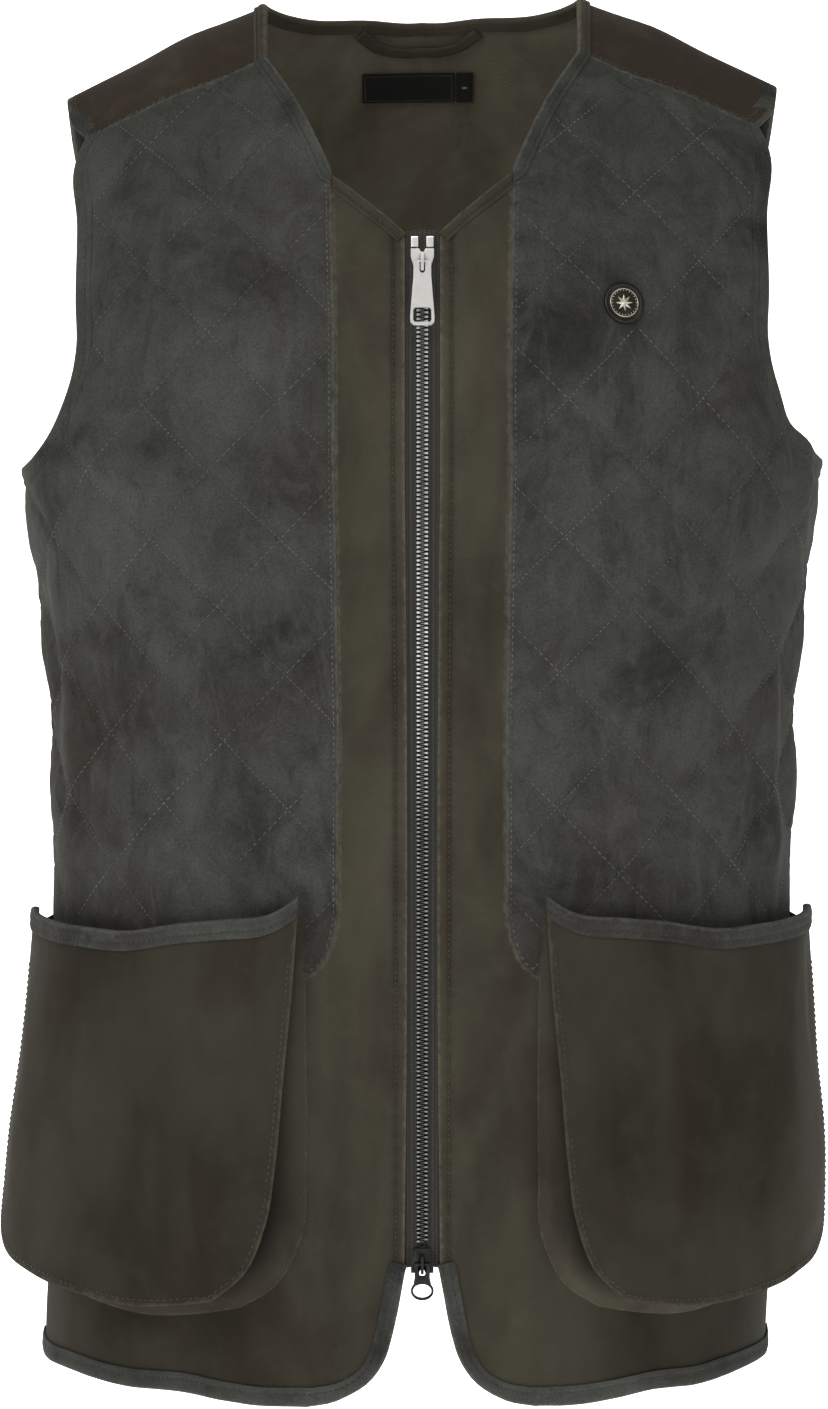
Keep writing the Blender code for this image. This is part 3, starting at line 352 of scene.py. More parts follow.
# creases in the hanging cloth
slack = {"deeper": 1.5, "bend": 0.25, "uneven": 0.35, "unevenPitch": 70.0, "sideFade": 22.0, "ridgeFade": 30.0,
         "zipStart": 9.0, "zipFade": 25.0}
creases = {  # length round and height of both ends, half width, depth; a minus is a trough
    "front": (
        (196, -196, 206, -262, 7, -2.2), (209, -205, 219, -300, 9, 2.0), (224, -300, 216, -420, 12, -2.0),
        (204, -322, 212, -500, 8, 1.6), (188, -330, 194, -470, 7, -1.6), (150, -395, 132, -455, 9, -1.3),
        (-96, -424, -92, -474, 5, -2.4), (-88, -430, -82, -470, 6, 1.5), (-212, -290, -206, -430, 12, 1.8),
        (-226, -262, -218, -390, 10, -2.0), (-196, -210, -176, -262, 9, -1.4), (-60, -540, -46, -690, 12, -2.4),
        (-40, -500, -34, -660, 10, 1.8), (-84, -668, -76, -712, 11, 0.9), (-120, -672, -126, -713, 12, -1.0),
        (-170, -676, -176, -712, 13, 0.9), (-28, -300, -26, -480, 8, -1.1), (32, -420, 36, -640, 9, -1.6),
        (48, -520, 60, -700, 12, 2.2), (78, -668, 84, -713, 11, -1.0), (128, -672, 120, -713, 13, 0.9),
        (170, -674, 178, -712, 12, -0.9), (26, -180, 30, -330, 8, 1.0), (-30, -130, -34, -250, 8, 1.0),
        (70, -110, 60, -190, 10, -1.0), (-70, -120, -84, -190, 12, 1.0), (140, -90, 150, -190, 14, -1.2),
    ),
    "back": (
        (-205, -210, -120, -300, 14, -2.4), (-215, -255, -140, -345, 12, 2.0), (206, -214, 128, -310, 13, -2.4),
        (214, -260, 150, -350, 12, 2.0), (-60, -330, 70, -352, 12, -2.2), (-80, -366, 40, -382, 13, 2.0),
        (-30, -405, 96, -396, 11, -1.8), (-160, -420, -150, -640, 16, 2.4), (-118, -480, -112, -690, 14, -2.6),
        (-64, -520, -70, -684, 16, 2.4), (-14, -470, -10, -680, 14, -2.2), (44, -500, 50, -684, 15, 2.6),
        (98, -470, 104, -688, 14, -2.6), (156, -440, 150, -690, 17, 2.4), (210, -500, 214, -690, 14, -2.2),
        (-214, -520, -220, -690, 14, 2.0), (-40, -60, -120, -120, 13, 1.6), (46, -62, 118, -126, 13, 1.6),
        (0, -150, 0, -260, 18, -1.6), (-6, -300, -4, -420, 14, 1.4),
    ),
}


def creaseRows(rows):
    found = []
    for a0, z0, a1, z1, half, depth in rows:
        found.append((a0, float(downOf(a0, z0)), a1, float(downOf(a1, z1)), half, depth))
    return found


frontCreases = creaseRows(creases["front"])
backCreases = creaseRows(creases["back"])


def creaseRise(rows, across, down):
    rise = np.zeros(np.broadcast(across, down).shape)
    for a0, d0, a1, d1, half, depth in rows:
        span = np.array((a1 - a0, d1 - d0))
        length = np.hypot(*span)
        t = ((across - a0) * span[0] + (down - d0) * span[1]) / length ** 2
        off = ((across - a0) * span[1] - (down - d0) * span[0]) / length
        off = off + slack["bend"] * half * np.sin(t * 5.0 + a0)  # no crease runs quite straight
        ends = np.clip(1.25 - np.abs(t - 0.5) * 2.2, 0, 1)
        rise = rise + slack["deeper"] * depth * ends * ends * (3 - 2 * ends) * np.exp(-(off / half) ** 2)
    return rise


def ripple(u, v, size, seed):  # soft unevenness from -1 to 1
    dice = np.random.RandomState(seed)
    total = 0
    for _ in range(6):
        way = dice.uniform(0, 2 * math.pi)
        pitch = size * dice.uniform(0.6, 1.7)
        total = total + np.sin((u * math.cos(way) + v * math.sin(way)) * 2 * math.pi / pitch + dice.uniform(0, 6.3))
    return total / 4.0


def bodyRise(across, down, face):  # how the worn cloth strays from the smooth form
    across, down = np.broadcast_arrays(np.asarray(across, float), np.asarray(down, float))
    onFront = (np.full(across.shape, face) == front) ^ (down < 0)
    rise = np.where(
        onFront, creaseRise(frontCreases, across, np.abs(down)), creaseRise(backCreases, across, np.abs(down))
    )
    side = np.clip((quarter - np.abs(across)) / slack["sideFade"], 0, 1)  # both faces agree at the side and ridge
    ridge = np.clip(np.abs(down) / slack["ridgeFade"], 0, 1)
    byZip = np.where(onFront, np.clip((np.abs(across) - slack["zipStart"]) / slack["zipFade"], 0, 1), 1.0)
    uneven = slack["uneven"] * ripple(across, np.abs(down), slack["unevenPitch"], 3)
    return (rise + uneven) * side * ridge * byZip


# making meshes
def makeMesh(name, points, faces, uvs=None, sharp=40):
    mesh = bpy.data.meshes.new(name)
    mesh.from_pydata((np.asarray(points) * mm).tolist(), [], faces)
    mesh.update()
    if uvs is not None:
        layer = mesh.uv_layers.new(name="cut")
        corners = np.empty(len(mesh.loops), np.int32)
        mesh.loops.foreach_get("vertex_index", corners)
        layer.data.foreach_set("uv", (np.asarray(uvs)[corners] / 100.0).astype(np.float32).ravel())
    piece = bpy.data.objects.new(name, mesh)
    bpy.context.collection.objects.link(piece)
    bpy.ops.object.select_all(action="DESELECT")
    bpy.context.view_layer.objects.active = piece
    piece.select_set(True)
    bpy.ops.object.shade_smooth_by_angle(angle=math.radians(sharp))
    piece.select_set(False)
    return piece


def outwardFaces(piece):
    shape = bmesh.new()
    shape.from_mesh(piece.data)
    bmesh.ops.recalc_face_normals(shape, faces=shape.faces[:])
    if shape.calc_volume(signed=True) < 0:
        bmesh.ops.reverse_faces(shape, faces=shape.faces[:])
    shape.to_mesh(piece.data)
    shape.free()


def finishPiece(piece, material, slotName, *replaced, body="vest"):
    piece.data.materials.clear()
    piece.data.materials.append(material)
    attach(piece, body)
    if replaced:
        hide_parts(*replaced)
    return piece


def evenField(loop, step):
    low = loop.min(axis=0)
    high = loop.max(axis=0)
    found = []
    for k, down in enumerate(np.arange(low[1], high[1], step * 0.87)):
        start = math.floor(low[0] / step) * step + (step / 2 if k % 2 else 0)
        row = np.arange(start, high[0], step)
        found.append(np.stack((row, np.full(len(row), down)), axis=1))
    return np.concatenate(found)


def clothPanel(name, outline, face, low, high, step, field=None, rim=0.5):
    loop = movedIn(np.array(outline), cut["seam"])
    inner = evenField(loop, step) if field is None else np.array(field)
    inner = inner[insideLoop(inner, loop)]
    inner = inner[gapToLine(inner, loop, True) > step * rim]
    flat = [Vector(p) for p in loop] + [Vector(p) for p in inner]
    edges = [(k, (k + 1) % len(loop)) for k in range(len(loop))]
    net = delaunay_2d_cdt(flat, edges, [], 0, 1e-5)
    spots = np.array([tuple(v) for v in net[0]])
    tris = np.array(net[2])
    tris = tris[insideLoop(spots[tris].mean(axis=1), loop)]
    a, b, c = spots[tris[:, 0]], spots[tris[:, 1]], spots[tris[:, 2]]
    area = (b[:, 0] - a[:, 0]) * (c[:, 1] - a[:, 1]) - (c[:, 0] - a[:, 0]) * (b[:, 1] - a[:, 1])
    tris = np.where((area > 0)[:, None], tris, tris[:, ::-1])
    tris = tris[np.abs(area) > 1e-7]
    used = np.unique(tris)
    number = np.full(len(spots), -1)
    number[used] = np.arange(len(used))
    tris = number[tris]
    spots = spots[used]
    count = len(spots)
    points = np.concatenate((
        offForm(spots[:, 0], spots[:, 1], face, low(spots[:, 0], spots[:, 1], face)),
        offForm(spots[:, 0], spots[:, 1], face, high(spots[:, 0], spots[:, 1], face)),
    ))
    edgesOf = np.concatenate((tris[:, [0, 1]], tris[:, [1, 2]], tris[:, [2, 0]]))
    seen = set(map(tuple, edgesOf.tolist()))
    rims = np.array([edge for edge in seen if (edge[1], edge[0]) not in seen])
    rims = rims[np.lexsort((rims[:, 1], rims[:, 0]))]
    faces = (tris + count).tolist() + tris[:, ::-1].tolist()
    faces += np.stack((rims[:, 0], rims[:, 1], rims[:, 1] + count, rims[:, 0] + count), axis=1).tolist()
    if face == front:
        faces = [f[::-1] for f in faces]
    return makeMesh(name, points, faces, np.concatenate((spots, spots)), 50)


def stripUvs(run, around, pitch):  # flat pattern of a strip, along it by round it
    return np.stack((np.repeat(run, around), np.tile(np.arange(around) * pitch, len(run))), axis=1)


def ringStrip(name, rings, closed, uvs=None, sharp=60):  # rings: stations x section points x 3
    stations, around = rings.shape[:2]
    index = np.arange(stations * around).reshape(stations, around)
    ahead = np.roll(index, -1, axis=0) if closed else index[1:]
    here = index if closed else index[:-1]
    quads = np.stack((here, ahead, np.roll(ahead, -1, axis=1), np.roll(here, -1, axis=1)), axis=2).reshape(-1, 4)
    faces = quads.tolist()
    if not closed:
        faces += [index[0].tolist(), index[-1][::-1].tolist()]
    piece = makeMesh(name, rings.reshape(-1, 3), faces, uvs, sharp)
    outwardFaces(piece)
    return piece


def bindingRings(edge, inner, face, low, high, thick, backShare=1.0, wave=0.0, seed=1, groove=0.6):
    # a U-shaped fold: over the outside, round the cut edge and down the inside
    edge = np.array(edge)
    inner = np.array(inner)
    face = np.broadcast_to(face, (len(edge),))[:, None]
    run = runAlong(edge)
    uneven = wave * ripple(run, run * 0.3, 28.0, seed)
    gap = cut["gap"]

    def at(share, rise):
        spot = edge + (inner - edge) * share
        a, d = spot[:, 0:1], spot[:, 1:2]
        return (formPoints(a, d, face)[:, 0], formNormals(a, d, face)[:, 0], rise(spot[:, 0], spot[:, 1], face[:, 0]))

    e, ne, eHigh = at(0.0, high)
    i, ni, iHigh = at(1.0, high)
    _, _, eLow = at(0.0, low)
    b, nb, bLow = at(backShare, low)
    inward = [at(share, high) for share in (groove + 0.14, groove, groove - 0.14, groove * 0.4)]
    way = (e + ne * eHigh[:, None]) - (i + ni * iHigh[:, None])
    way /= np.linalg.norm(way, axis=1, keepdims=True)
    reach = gap + thick + uneven[:, None] * 0.5
    top = eHigh[:, None] + gap
    foot = eLow[:, None] - gap
    middle = (top + foot) / 2
    half = (top - foot) / 2 + thick
    rows = [i + ni * (iHigh[:, None] + gap * 0.5), i + ni * (iHigh[:, None] + gap + thick * 0.55)]
    for (spot, normal, rise), lift in zip(inward, (0.05, -0.55, 0.05, 0.3)):
        rows.append(spot + normal * (rise[:, None] + reach + lift))
    for turn in np.linspace(90, -90, 9):
        t = math.radians(turn)
        rows.append(e + ne * (middle + half * math.sin(t)) + way * (gap * 0.5 + (reach - gap * 0.5) * math.cos(t)))
    rows += [b + nb * (bLow[:, None] - gap - thick), b + nb * (bLow[:, None] - gap)]
    rows += [e + ne * foot + way * gap * 0.6, e + ne * middle + way * gap * 0.9, e + ne * top + way * gap * 0.6]
    rings = np.stack(rows, axis=1)
    return rings, stripUvs(run, rings.shape[1], 2.0)


def flatRise(value):  # every rise is a function of the length round, the length down and the face
    return lambda across, down, face: value + bodyRise(across, down, face)


# stitches
class Sewing:  # gathers stitches, each a small bead of thread, into one mesh
    def __init__(self):
        self.points = []
        self.faces = []

    def add(self, starts, ends, ups, thick):
        sides = 5
        middle = (starts + ends) / 2
        way = (ends - starts) / 2
        along = way / np.linalg.norm(way, axis=1, keepdims=True)
        across = np.cross(along, ups)
        across /= np.linalg.norm(across, axis=1, keepdims=True)
        up = np.cross(across, along)
        ringPoints = []
        for share, size, lift in ((-0.62, 0.72, 0.0), (0.0, 1.0, 0.25), (0.62, 0.72, 0.0)):
            for k in range(sides):
                t = 2 * math.pi * k / sides
                ringPoints.append(middle + way * share + up * lift * thick
                                  + (across * math.cos(t) + up * math.sin(t)) * thick * size)
        tips = [middle - way - up * thick * 0.5, middle + way - up * thick * 0.5]
        block = np.stack(ringPoints + tips, axis=1)
        base = sum(len(p) for p in self.points)
        pattern = []
        for row in range(2):
            for k in range(sides):
                k2 = (k + 1) % sides
                pattern.append((row * sides + k, row * sides + k2, (row + 1) * sides + k2, (row + 1) * sides + k))
        caps = [(3 * sides, (k + 1) % sides, k) for k in range(sides)]
        caps += [(3 * sides + 1, 2 * sides + k, 2 * sides + (k + 1) % sides) for k in range(sides)]
        for n in range(len(block)):
            off = base + n * block.shape[1]
            self.faces += [tuple(off + v for v in f) for f in pattern + caps]
        self.points.append(block.reshape(-1, 3))

    def run(self, line, face, rise, pitch=3.2, length=2.1, thick=0.33, keep=None, lift=0.1):
        line = np.array(line)
        total = lineLength(line)
        if total < 2 * pitch:
            return
        runAt = runAlong(line)
        middles = np.arange(pitch, total - pitch / 2, pitch)

        def spot(at):
            return np.stack((np.interp(at, runAt, line[:, 0]), np.interp(at, runAt, line[:, 1])), axis=1)

        if keep is not None:
            middles = middles[keep(spot(middles))]
        if not len(middles):
            return
        ends = []
        for at in (middles - length / 2, middles + length / 2):
            p = spot(at)
            ends.append(offForm(p[:, 0], p[:, 1], face, rise(p[:, 0], p[:, 1], face) + lift))
        m = spot(middles)
        self.add(ends[0], ends[1], formNormals(m[:, 0], m[:, 1], face), thick)

    def piece(self, name, material, slotName):
        made = makeMesh(name, np.concatenate(self.points), self.faces, None, 80)
        outwardFaces(made)
        return finishPiece(made, material, slotName)


# materials
def newMaterial(name, roughness, metallic=0.0, sheen=0.0, sheenRoughness=0.5, sheenTint=(1, 1, 1), specular=0.5):
    material = bpy.data.materials.new(name)
    material.use_nodes = True
    tree = material.node_tree
    shader = tree.nodes["Principled BSDF"]
    shader.inputs["Roughness"].default_value = roughness
    shader.inputs["Metallic"].default_value = metallic
    shader.inputs["Sheen Weight"].default_value = sheen
    shader.inputs["Sheen Roughness"].default_value = sheenRoughness
    shader.inputs["Sheen Tint"].default_value = (*sheenTint, 1)
    shader.inputs["Specular IOR Level"].default_value = specular
    return material, tree, shader


def addNode(tree, kind, **inputs):
    node = tree.nodes.new(kind)
    for key, value in inputs.items():
        node.inputs[key.replace("_", " ")].default_value = value
    return node


def noiseNode(tree, vector, scale, detail=4.0, rough=0.55, distortion=0.0):
    node = addNode(tree, "ShaderNodeTexNoise", Scale=scale, Detail=detail, Roughness=rough, Distortion=distortion)
    tree.links.new(vector, node.inputs["Vector"])
    return node.outputs["Fac"]


def rampNode(tree, value, stops):
    node = tree.nodes.new("ShaderNodeValToRGB")
    ramp = node.color_ramp
    while len(ramp.elements) < len(stops):
        ramp.elements.new(0.5)
    for element, (place, colour) in zip(ramp.elements, stops):
        element.position = place
        element.color = (*colour, 1) if hasattr(colour, "__len__") else (colour, colour, colour, 1)
    tree.links.new(value, node.inputs["Fac"])
    return node.outputs["Color"]


def mixNode(tree, factor, first, second, mode="MIX"):
    node = tree.nodes.new("ShaderNodeMix")
    node.data_type = "RGBA"
    node.blend_type = mode
    for key, value in ((0, factor), (6, first), (7, second)):
        if hasattr(value, "is_output"):
            tree.links.new(value, node.inputs[key])
        elif key == 0:
            node.inputs[key].default_value = value
        else:
            node.inputs[key].default_value = (*value, 1)
    return node.outputs[2]


def mathNode(tree, operation, first, second=0.0, third=0.0):
    node = tree.nodes.new("ShaderNodeMath")
    node.operation = operation
    for k, value in enumerate((first, second, third)):
        if hasattr(value, "is_output"):
            tree.links.new(value, node.inputs[k])
        else:
            node.inputs[k].default_value = value
    return node.outputs[0]


def bumpNode(tree, shader, height, distance, strength, normal=None):
    node = addNode(tree, "ShaderNodeBump", Strength=strength, Distance=distance)
    tree.links.new(height, node.inputs["Height"])
    if normal is not None:
        tree.links.new(normal, node.inputs["Normal"])
    tree.links.new(node.outputs["Normal"], shader.inputs["Normal"])
    return node.outputs["Normal"]


def mappedCoords(tree, vector, key, value):
    node = tree.nodes.new("ShaderNodeMapping")
    node.inputs[key].default_value = value
    tree.links.new(vector, node.inputs["Vector"])
    return node.outputs["Vector"]


def objectCoords(tree):
    return tree.nodes.new("ShaderNodeTexCoord").outputs["Object"]


def cutCoords(tree):
    node = tree.nodes.new("ShaderNodeUVMap")
    node.uv_map = "cut"
    return node.outputs["UV"]


suedeLook = {
    "dark": (0.0168, 0.0170, 0.0154), "middle": (0.0355, 0.0362, 0.0325), "light": (0.0550, 0.0560, 0.0500),
    "brown": (0.0235, 0.0182, 0.0152), "worn": (0.084, 0.083, 0.073), "sheen": 0.04,
    "streak": 0.5, "napShare": 0.4,
}


def makeSuede(name, look, lift=1.0):
    material, tree, shader = newMaterial(name, 0.95, sheen=look["sheen"], sheenRoughness=0.4,
                                         sheenTint=(0.8, 0.82, 0.76), specular=0.04)
    place = objectCoords(tree)
    blotch = noiseNode(tree, place, 12.0, 7.0, 0.62, 0.8)
    colour = rampNode(tree, blotch, ((0.30, look["dark"]), (0.47, look["middle"]), (0.72, look["light"])))
    brown = rampNode(tree, noiseNode(tree, place, 9.0, 4.0, 0.55, 0.5), ((0.49, 0.0), (0.68, 0.6)))
    colour = mixNode(tree, brown, colour, look["brown"])
    streaks = mappedCoords(tree, place, "Scale", (1.0, 1.0, look["streak"]))
    scuffs = noiseNode(tree, streaks, 46.0, 9.0, 0.74, 1.2)
    colour = mixNode(tree, rampNode(tree, scuffs, ((0.49, 0.0), (0.72, 0.8))), colour, look["light"])
    colour = mixNode(tree, rampNode(tree, scuffs, ((0.28, 0.8), (0.45, 0.0))), colour, look["dark"])
    nap = noiseNode(tree, place, 900.0, 3.0, 0.7)
    colour = mixNode(tree, look["napShare"], colour, rampNode(tree, nap, ((0.3, 0.35), (0.7, 1.65))), "MULTIPLY")
    rubbed = mathNode(tree, "MULTIPLY", wearToneAndShade(tree), noiseNode(tree, place, 300.0, 4.0, 0.7))
    colour = mixNode(tree, rampNode(tree, rubbed, ((0.30, 0.0), (0.60, 0.75))), colour, look["worn"])
    if lift != 1.0:
        colour = mixNode(tree, 1.0, colour, (lift, lift, lift), "MULTIPLY")
    tree.links.new(colour, shader.inputs["Base Color"])
    fine = bumpNode(tree, shader, nap, 0.0005, 0.5)
    bumpNode(tree, shader, noiseNode(tree, place, 120.0, 6.0, 0.62), 0.0014, 0.4, fine)
    return material


# reads a point attribute: the wear, the yoke's tone, and the painted shade and painted light kept in "shade"
def wearToneAndShade(tree, name="wear"):
    node = tree.nodes.new("ShaderNodeAttribute")
    node.attribute_name = name
    return node.outputs["Fac"]


cottonLook = {
    "dark": (0.0235, 0.0215, 0.0150), "middle": (0.0405, 0.0370, 0.0262), "light": (0.0560, 0.0510, 0.0375),
    "brown": (0.0250, 0.0172, 0.0120), "worn": (0.098, 0.086, 0.062), "yoke": (0.0285, 0.0208, 0.0152),
    "threadsPer100mm": 190.0, "hang": 0.7, "toneShare": 0.88, "weaveShare": 0.28,
}


def makeCotton(name, look):
    material, tree, shader = newMaterial(name, 0.85, sheen=0.03, sheenRoughness=0.4, sheenTint=(0.8, 0.75, 0.6),
                                         specular=0.07)
    place = objectCoords(tree)
    hung = mappedCoords(tree, place, "Scale", (1.5, 1.5, look["hang"]))  # patches drawn out along the hang
    patches = noiseNode(tree, hung, 12.0, 5.0, 0.6, 0.3)
    colour = rampNode(tree, patches, ((0.28, look["dark"]), (0.50, look["middle"]), (0.78, look["light"])))
    brown = rampNode(tree, noiseNode(tree, hung, 14.0, 4.0, 0.5, 0.6), ((0.51, 0.0), (0.70, 0.6)))
    colour = mixNode(tree, brown, colour, look["brown"])
    colour = mixNode(tree, mathNode(tree, "MULTIPLY", wearToneAndShade(tree, "tone"), look["toneShare"]), colour, look["yoke"])
    rub = noiseNode(tree, place, 60.0, 6.0, 0.65, 0.5)
    colour = mixNode(tree, rampNode(tree, rub, ((0.52, 0.0), (0.75, 0.4))), colour, look["light"])
    rubbed = mathNode(tree, "MULTIPLY", wearToneAndShade(tree), noiseNode(tree, place, 260.0, 4.0, 0.7, 0.4))
    colour = mixNode(tree, rampNode(tree, rubbed, ((0.26, 0.0), (0.58, 0.8))), colour, look["worn"])
    cutPlace = cutCoords(tree)
    weaves = []
    for turn in (0.55, -1.02):
        wave = addNode(tree, "ShaderNodeTexWave", Scale=look["threadsPer100mm"] / 6.28, Distortion=0.8, Detail=1.0,
                       Detail_Scale=2.0)
        tree.links.new(mappedCoords(tree, cutPlace, "Rotation", (0, 0, turn)), wave.inputs["Vector"])
        weaves.append(wave.outputs["Fac"])
    weave = mathNode(tree, "MULTIPLY", weaves[0], weaves[1])
    colour = mixNode(tree, look["weaveShare"], colour, rampNode(tree, weave, ((0.05, 0.5), (0.6, 1.5))), "MULTIPLY")
    # painted shade and painted light: the "shade" attribute darkens or brightens the colour
    colour = mixNode(tree, 1.0, colour, mathNode(tree, "ADD", wearToneAndShade(tree, "shade"), 1.0), "MULTIPLY")
    tree.links.new(colour, shader.inputs["Base Color"])
    fine = bumpNode(tree, shader, weave, 0.00025, 0.5)
    bumpNode(tree, shader, noiseNode(tree, place, 230.0, 5.0, 0.6), 0.0007, 0.4, fine)
    return material


suede = makeSuede("quiltedSuede", suedeLook)
bindingSuede = makeSuede("bindingSuede", suedeLook, 1.02)
cotton = makeCotton("oliveCotton", cottonLook)


def makeThread(name, colour):
    material, tree, shader = newMaterial(name, 0.7, sheen=0.2, specular=0.3)
    place = objectCoords(tree)
    twist = noiseNode(tree, place, 2500.0, 2.0, 0.5)
    tint = rampNode(tree, twist, ((0.3, tuple(c * 0.6 for c in colour)), (0.7, tuple(c * 1.3 for c in colour))))
    faded = rampNode(tree, noiseNode(tree, place, 34.0, 3.0, 0.6), ((0.40, 1.0), (0.60, 0.42)))
    tint = mixNode(tree, 1.0, tint, faded, "MULTIPLY")
    tree.links.new(tint, shader.inputs["Base Color"])
    bumpNode(tree, shader, twist, 0.0002, 0.4)
    return material


paleThread = makeThread("paleThread", (0.104, 0.104, 0.094))
darkThread = makeThread("darkThread", (0.018, 0.018, 0.016))
oliveThread = makeThread("oliveThread", (0.030, 0.026, 0.018))


creviceShade = {"reach": 0.0028, "share": 0.03, "steps": ((0.38, 0.0), (0.74, 1.0))}  # painted shade: how far the dark creeps out of corners and crevices


def makeMetal(name, colour, roughness, dust):
    material, tree, shader = newMaterial(name, roughness, metallic=1.0)
    place = objectCoords(tree)
    stain = noiseNode(tree, place, 180.0, 5.0, 0.6, 0.3)
    tint = rampNode(tree, stain, ((0.35, tuple(c * dust for c in colour)), (0.62, colour)))
    # painted shade: the "shade" attribute darkens the colour
    tint = mixNode(tree, 1.0, tint, mathNode(tree, "ADD", wearToneAndShade(tree, "shade"), 1.0), "MULTIPLY")
    # painted shade: ambient occlusion turns the metal's colour nearly black in crevices
    crevice = addNode(tree, "ShaderNodeAmbientOcclusion", Distance=creviceShade["reach"])
    crevice.samples = 6
    unshaded = rampNode(tree, crevice.outputs["AO"], creviceShade["steps"])
    tint = mixNode(tree, unshaded, tuple(c * creviceShade["share"] for c in colour), tint)
    tree.links.new(tint, shader.inputs["Base Color"])
    rough = rampNode(tree, noiseNode(tree, place, 420.0, 4.0, 0.6), ((0.3, roughness * 0.92), (0.7, roughness * 1.15)))
    tree.links.new(rough, shader.inputs["Roughness"])
    bumpNode(tree, shader, noiseNode(tree, place, 5000.0, 2.0, 0.5), 0.000006, 0.1)
    return material


brightSteel = makeMetal("brightSteel", (0.80, 0.79, 0.76), 0.30, 0.95)
teethSteel = makeMetal("teethSteel", (0.86, 0.85, 0.81), 0.32, 0.85)
darkSteel = makeMetal("darkSteel", (0.034, 0.034, 0.033), 0.36, 0.5)
badgeSteel = makeMetal("badgeSteel", (0.040, 0.038, 0.032), 0.42, 0.6)
brassSteel = makeMetal("brassSteel", (0.52, 0.48, 0.38), 0.36, 0.6)
print("materials made")


# writes a point attribute: the wear, the yoke's tone, and the painted shade and painted light kept in "shade"
def tagWearToneAndShade(piece, values, name="wear"):
    layer = piece.data.attributes.new(name, "FLOAT", "POINT")
    layer.data.foreach_set("value", np.asarray(values, np.float32))


def cutSpots(piece):  # each point's place in the flat cut
    count = len(piece.data.uv_layers["cut"].data)
    uvs = np.empty(count * 2, np.float32)
    piece.data.uv_layers["cut"].data.foreach_get("uv", uvs)
    corners = np.empty(len(piece.data.loops), np.int32)
    piece.data.loops.foreach_get("vertex_index", corners)
    spots = np.zeros((len(piece.data.vertices), 2))
    spots[corners] = uvs.reshape(-1, 2) * 100.0
    return spots


def panelWear(piece, outline, reach):
    spots = cutSpots(piece)
    tagWearToneAndShade(piece, np.clip(1 - gapToLine(spots, np.asarray(outline), True) / reach, 0, 1))
    return spots


# quilted suede fronts
quilt = {
    "across": 71.0, "drop": 269.0, "halfWidth": 34.5, "halfHeight": 35.0, "rise": 3.3, "fade": 12.0,
    "lowest": -455.0, "cells": 17, "badge": (99.0, 191.0), "badgeRadius": 10.6,
    "pucker": 0.55, "puckerPitch": 8.5, "layer": 0.7, "uneven": 0.4, "unevenPitch": 26.0, "lowFade": 30.0,
    "lowShare": 0.12, "edgeDip": 0.45, "edgeStitch": 2.6,
}


def quiltShares(across, down):
    a = (np.abs(across) - quilt["across"]) / quilt["halfWidth"]
    b = (down - shoulderOffset(across) - quilt["drop"]) / quilt["halfHeight"]
    return (a + b) / 2, (a - b) / 2


def suedeRise(across, down):
    across = np.asarray(across, float)
    down = np.asarray(down, float)
    spots = np.stack((np.abs(across).ravel(), down.ravel()), axis=1)
    bound = np.minimum(gapToLine(spots, neckSuede), gapToLine(spots, armholeFront)).reshape(across.shape)
    sewn = np.minimum.reduce([gapToLine(spots, line) for line in (suedeInner, suedeBottom, sideSuede, yokeSeam)])
    sewn = sewn.reshape(across.shape)
    fade = np.clip(np.minimum((bound - cut["armholeBinding"]), sewn - 1.0) / quilt["fade"], 0, 1)
    fade = fade * np.clip((heightAt(across, down) - quilt["lowest"]) / quilt["lowFade"], quilt["lowShare"], 1)
    badge = np.hypot(across - quilt["badge"][0], down - quilt["badge"][1]) - quilt["badgeRadius"] - 2.0
    fade = np.sqrt(fade * np.clip(badge / quilt["fade"], 0, 1))
    p, q = quiltShares(across, down)
    ways = np.abs(np.sin(np.pi * p)), np.abs(np.sin(np.pi * q))
    puff = np.sqrt(ways[0] * ways[1])
    full = 0.92 + 0.16 * np.sin(np.floor(p) * 2.1 + np.floor(q) * 3.7 + np.where(across > 0, 0.0, 1.9))
    rise = quilt["rise"] * puff * full + quilt["uneven"] * ripple(across, down, quilt["unevenPitch"], 11) * puff
    side = np.hypot(quilt["halfWidth"], quilt["halfHeight"])
    for near, along, seed in ((ways[0], q, 5), (ways[1], p, 6)):
        turn = 2 * np.pi * along * side / quilt["puckerPitch"] + 1.6 * ripple(across, down, 40.0, seed)
        rise = rise + quilt["pucker"] * np.sin(turn) * np.exp(-(near / 0.42) ** 2) * (1 - np.exp(-(near / 0.1) ** 2))
    edgeDip = -quilt["edgeDip"] * np.exp(-((sewn - quilt["edgeStitch"]) / 1.1) ** 2)  # the topstitch pulls it down
    return cut["cloth"] + quilt["layer"] + rise * fade + edgeDip


def suedeTop(across, down, face):
    return suedeRise(across, down) + bodyRise(across, down, face)


def quiltField():
    reach = np.arange(-11 * quilt["cells"], 11 * quilt["cells"])
    i, j = np.meshgrid(reach, reach)
    across = quilt["across"] + quilt["halfWidth"] * (i + j) / quilt["cells"]
    drop = quilt["drop"] + quilt["halfHeight"] * (i - j) / quilt["cells"]
    keep = (across > 40) & (across < quarter) & (drop > -30) & (drop < 560)
    across = across[keep]
    return np.stack((across, drop[keep] + shoulderOffset(across)), axis=1)


suedeCut = joinLines(neckSuede, yokeSeam, armholeFront, sideSuede, suedeBottom[::-1], suedeInner[::-1])[:-1]
oliveCut = joinLines(neckOlive, suedeInner, suedeBottom, sideOlive, hemFront[::-1], hemCorner[::-1],
                     zipEdge[::-1])[:-1]
# zipSeam's "dark" is painted shade in the topstitch groove
zipSeam = {"stitch": 14.2, "pucker": 0.6, "pitch": 8.0, "groove": 0.75, "grooveWidth": 1.3, "dark": 0.4}
skirtShade = {"from": 55.0, "over": 60.0, "dark": 0.34, "top": -470.0}


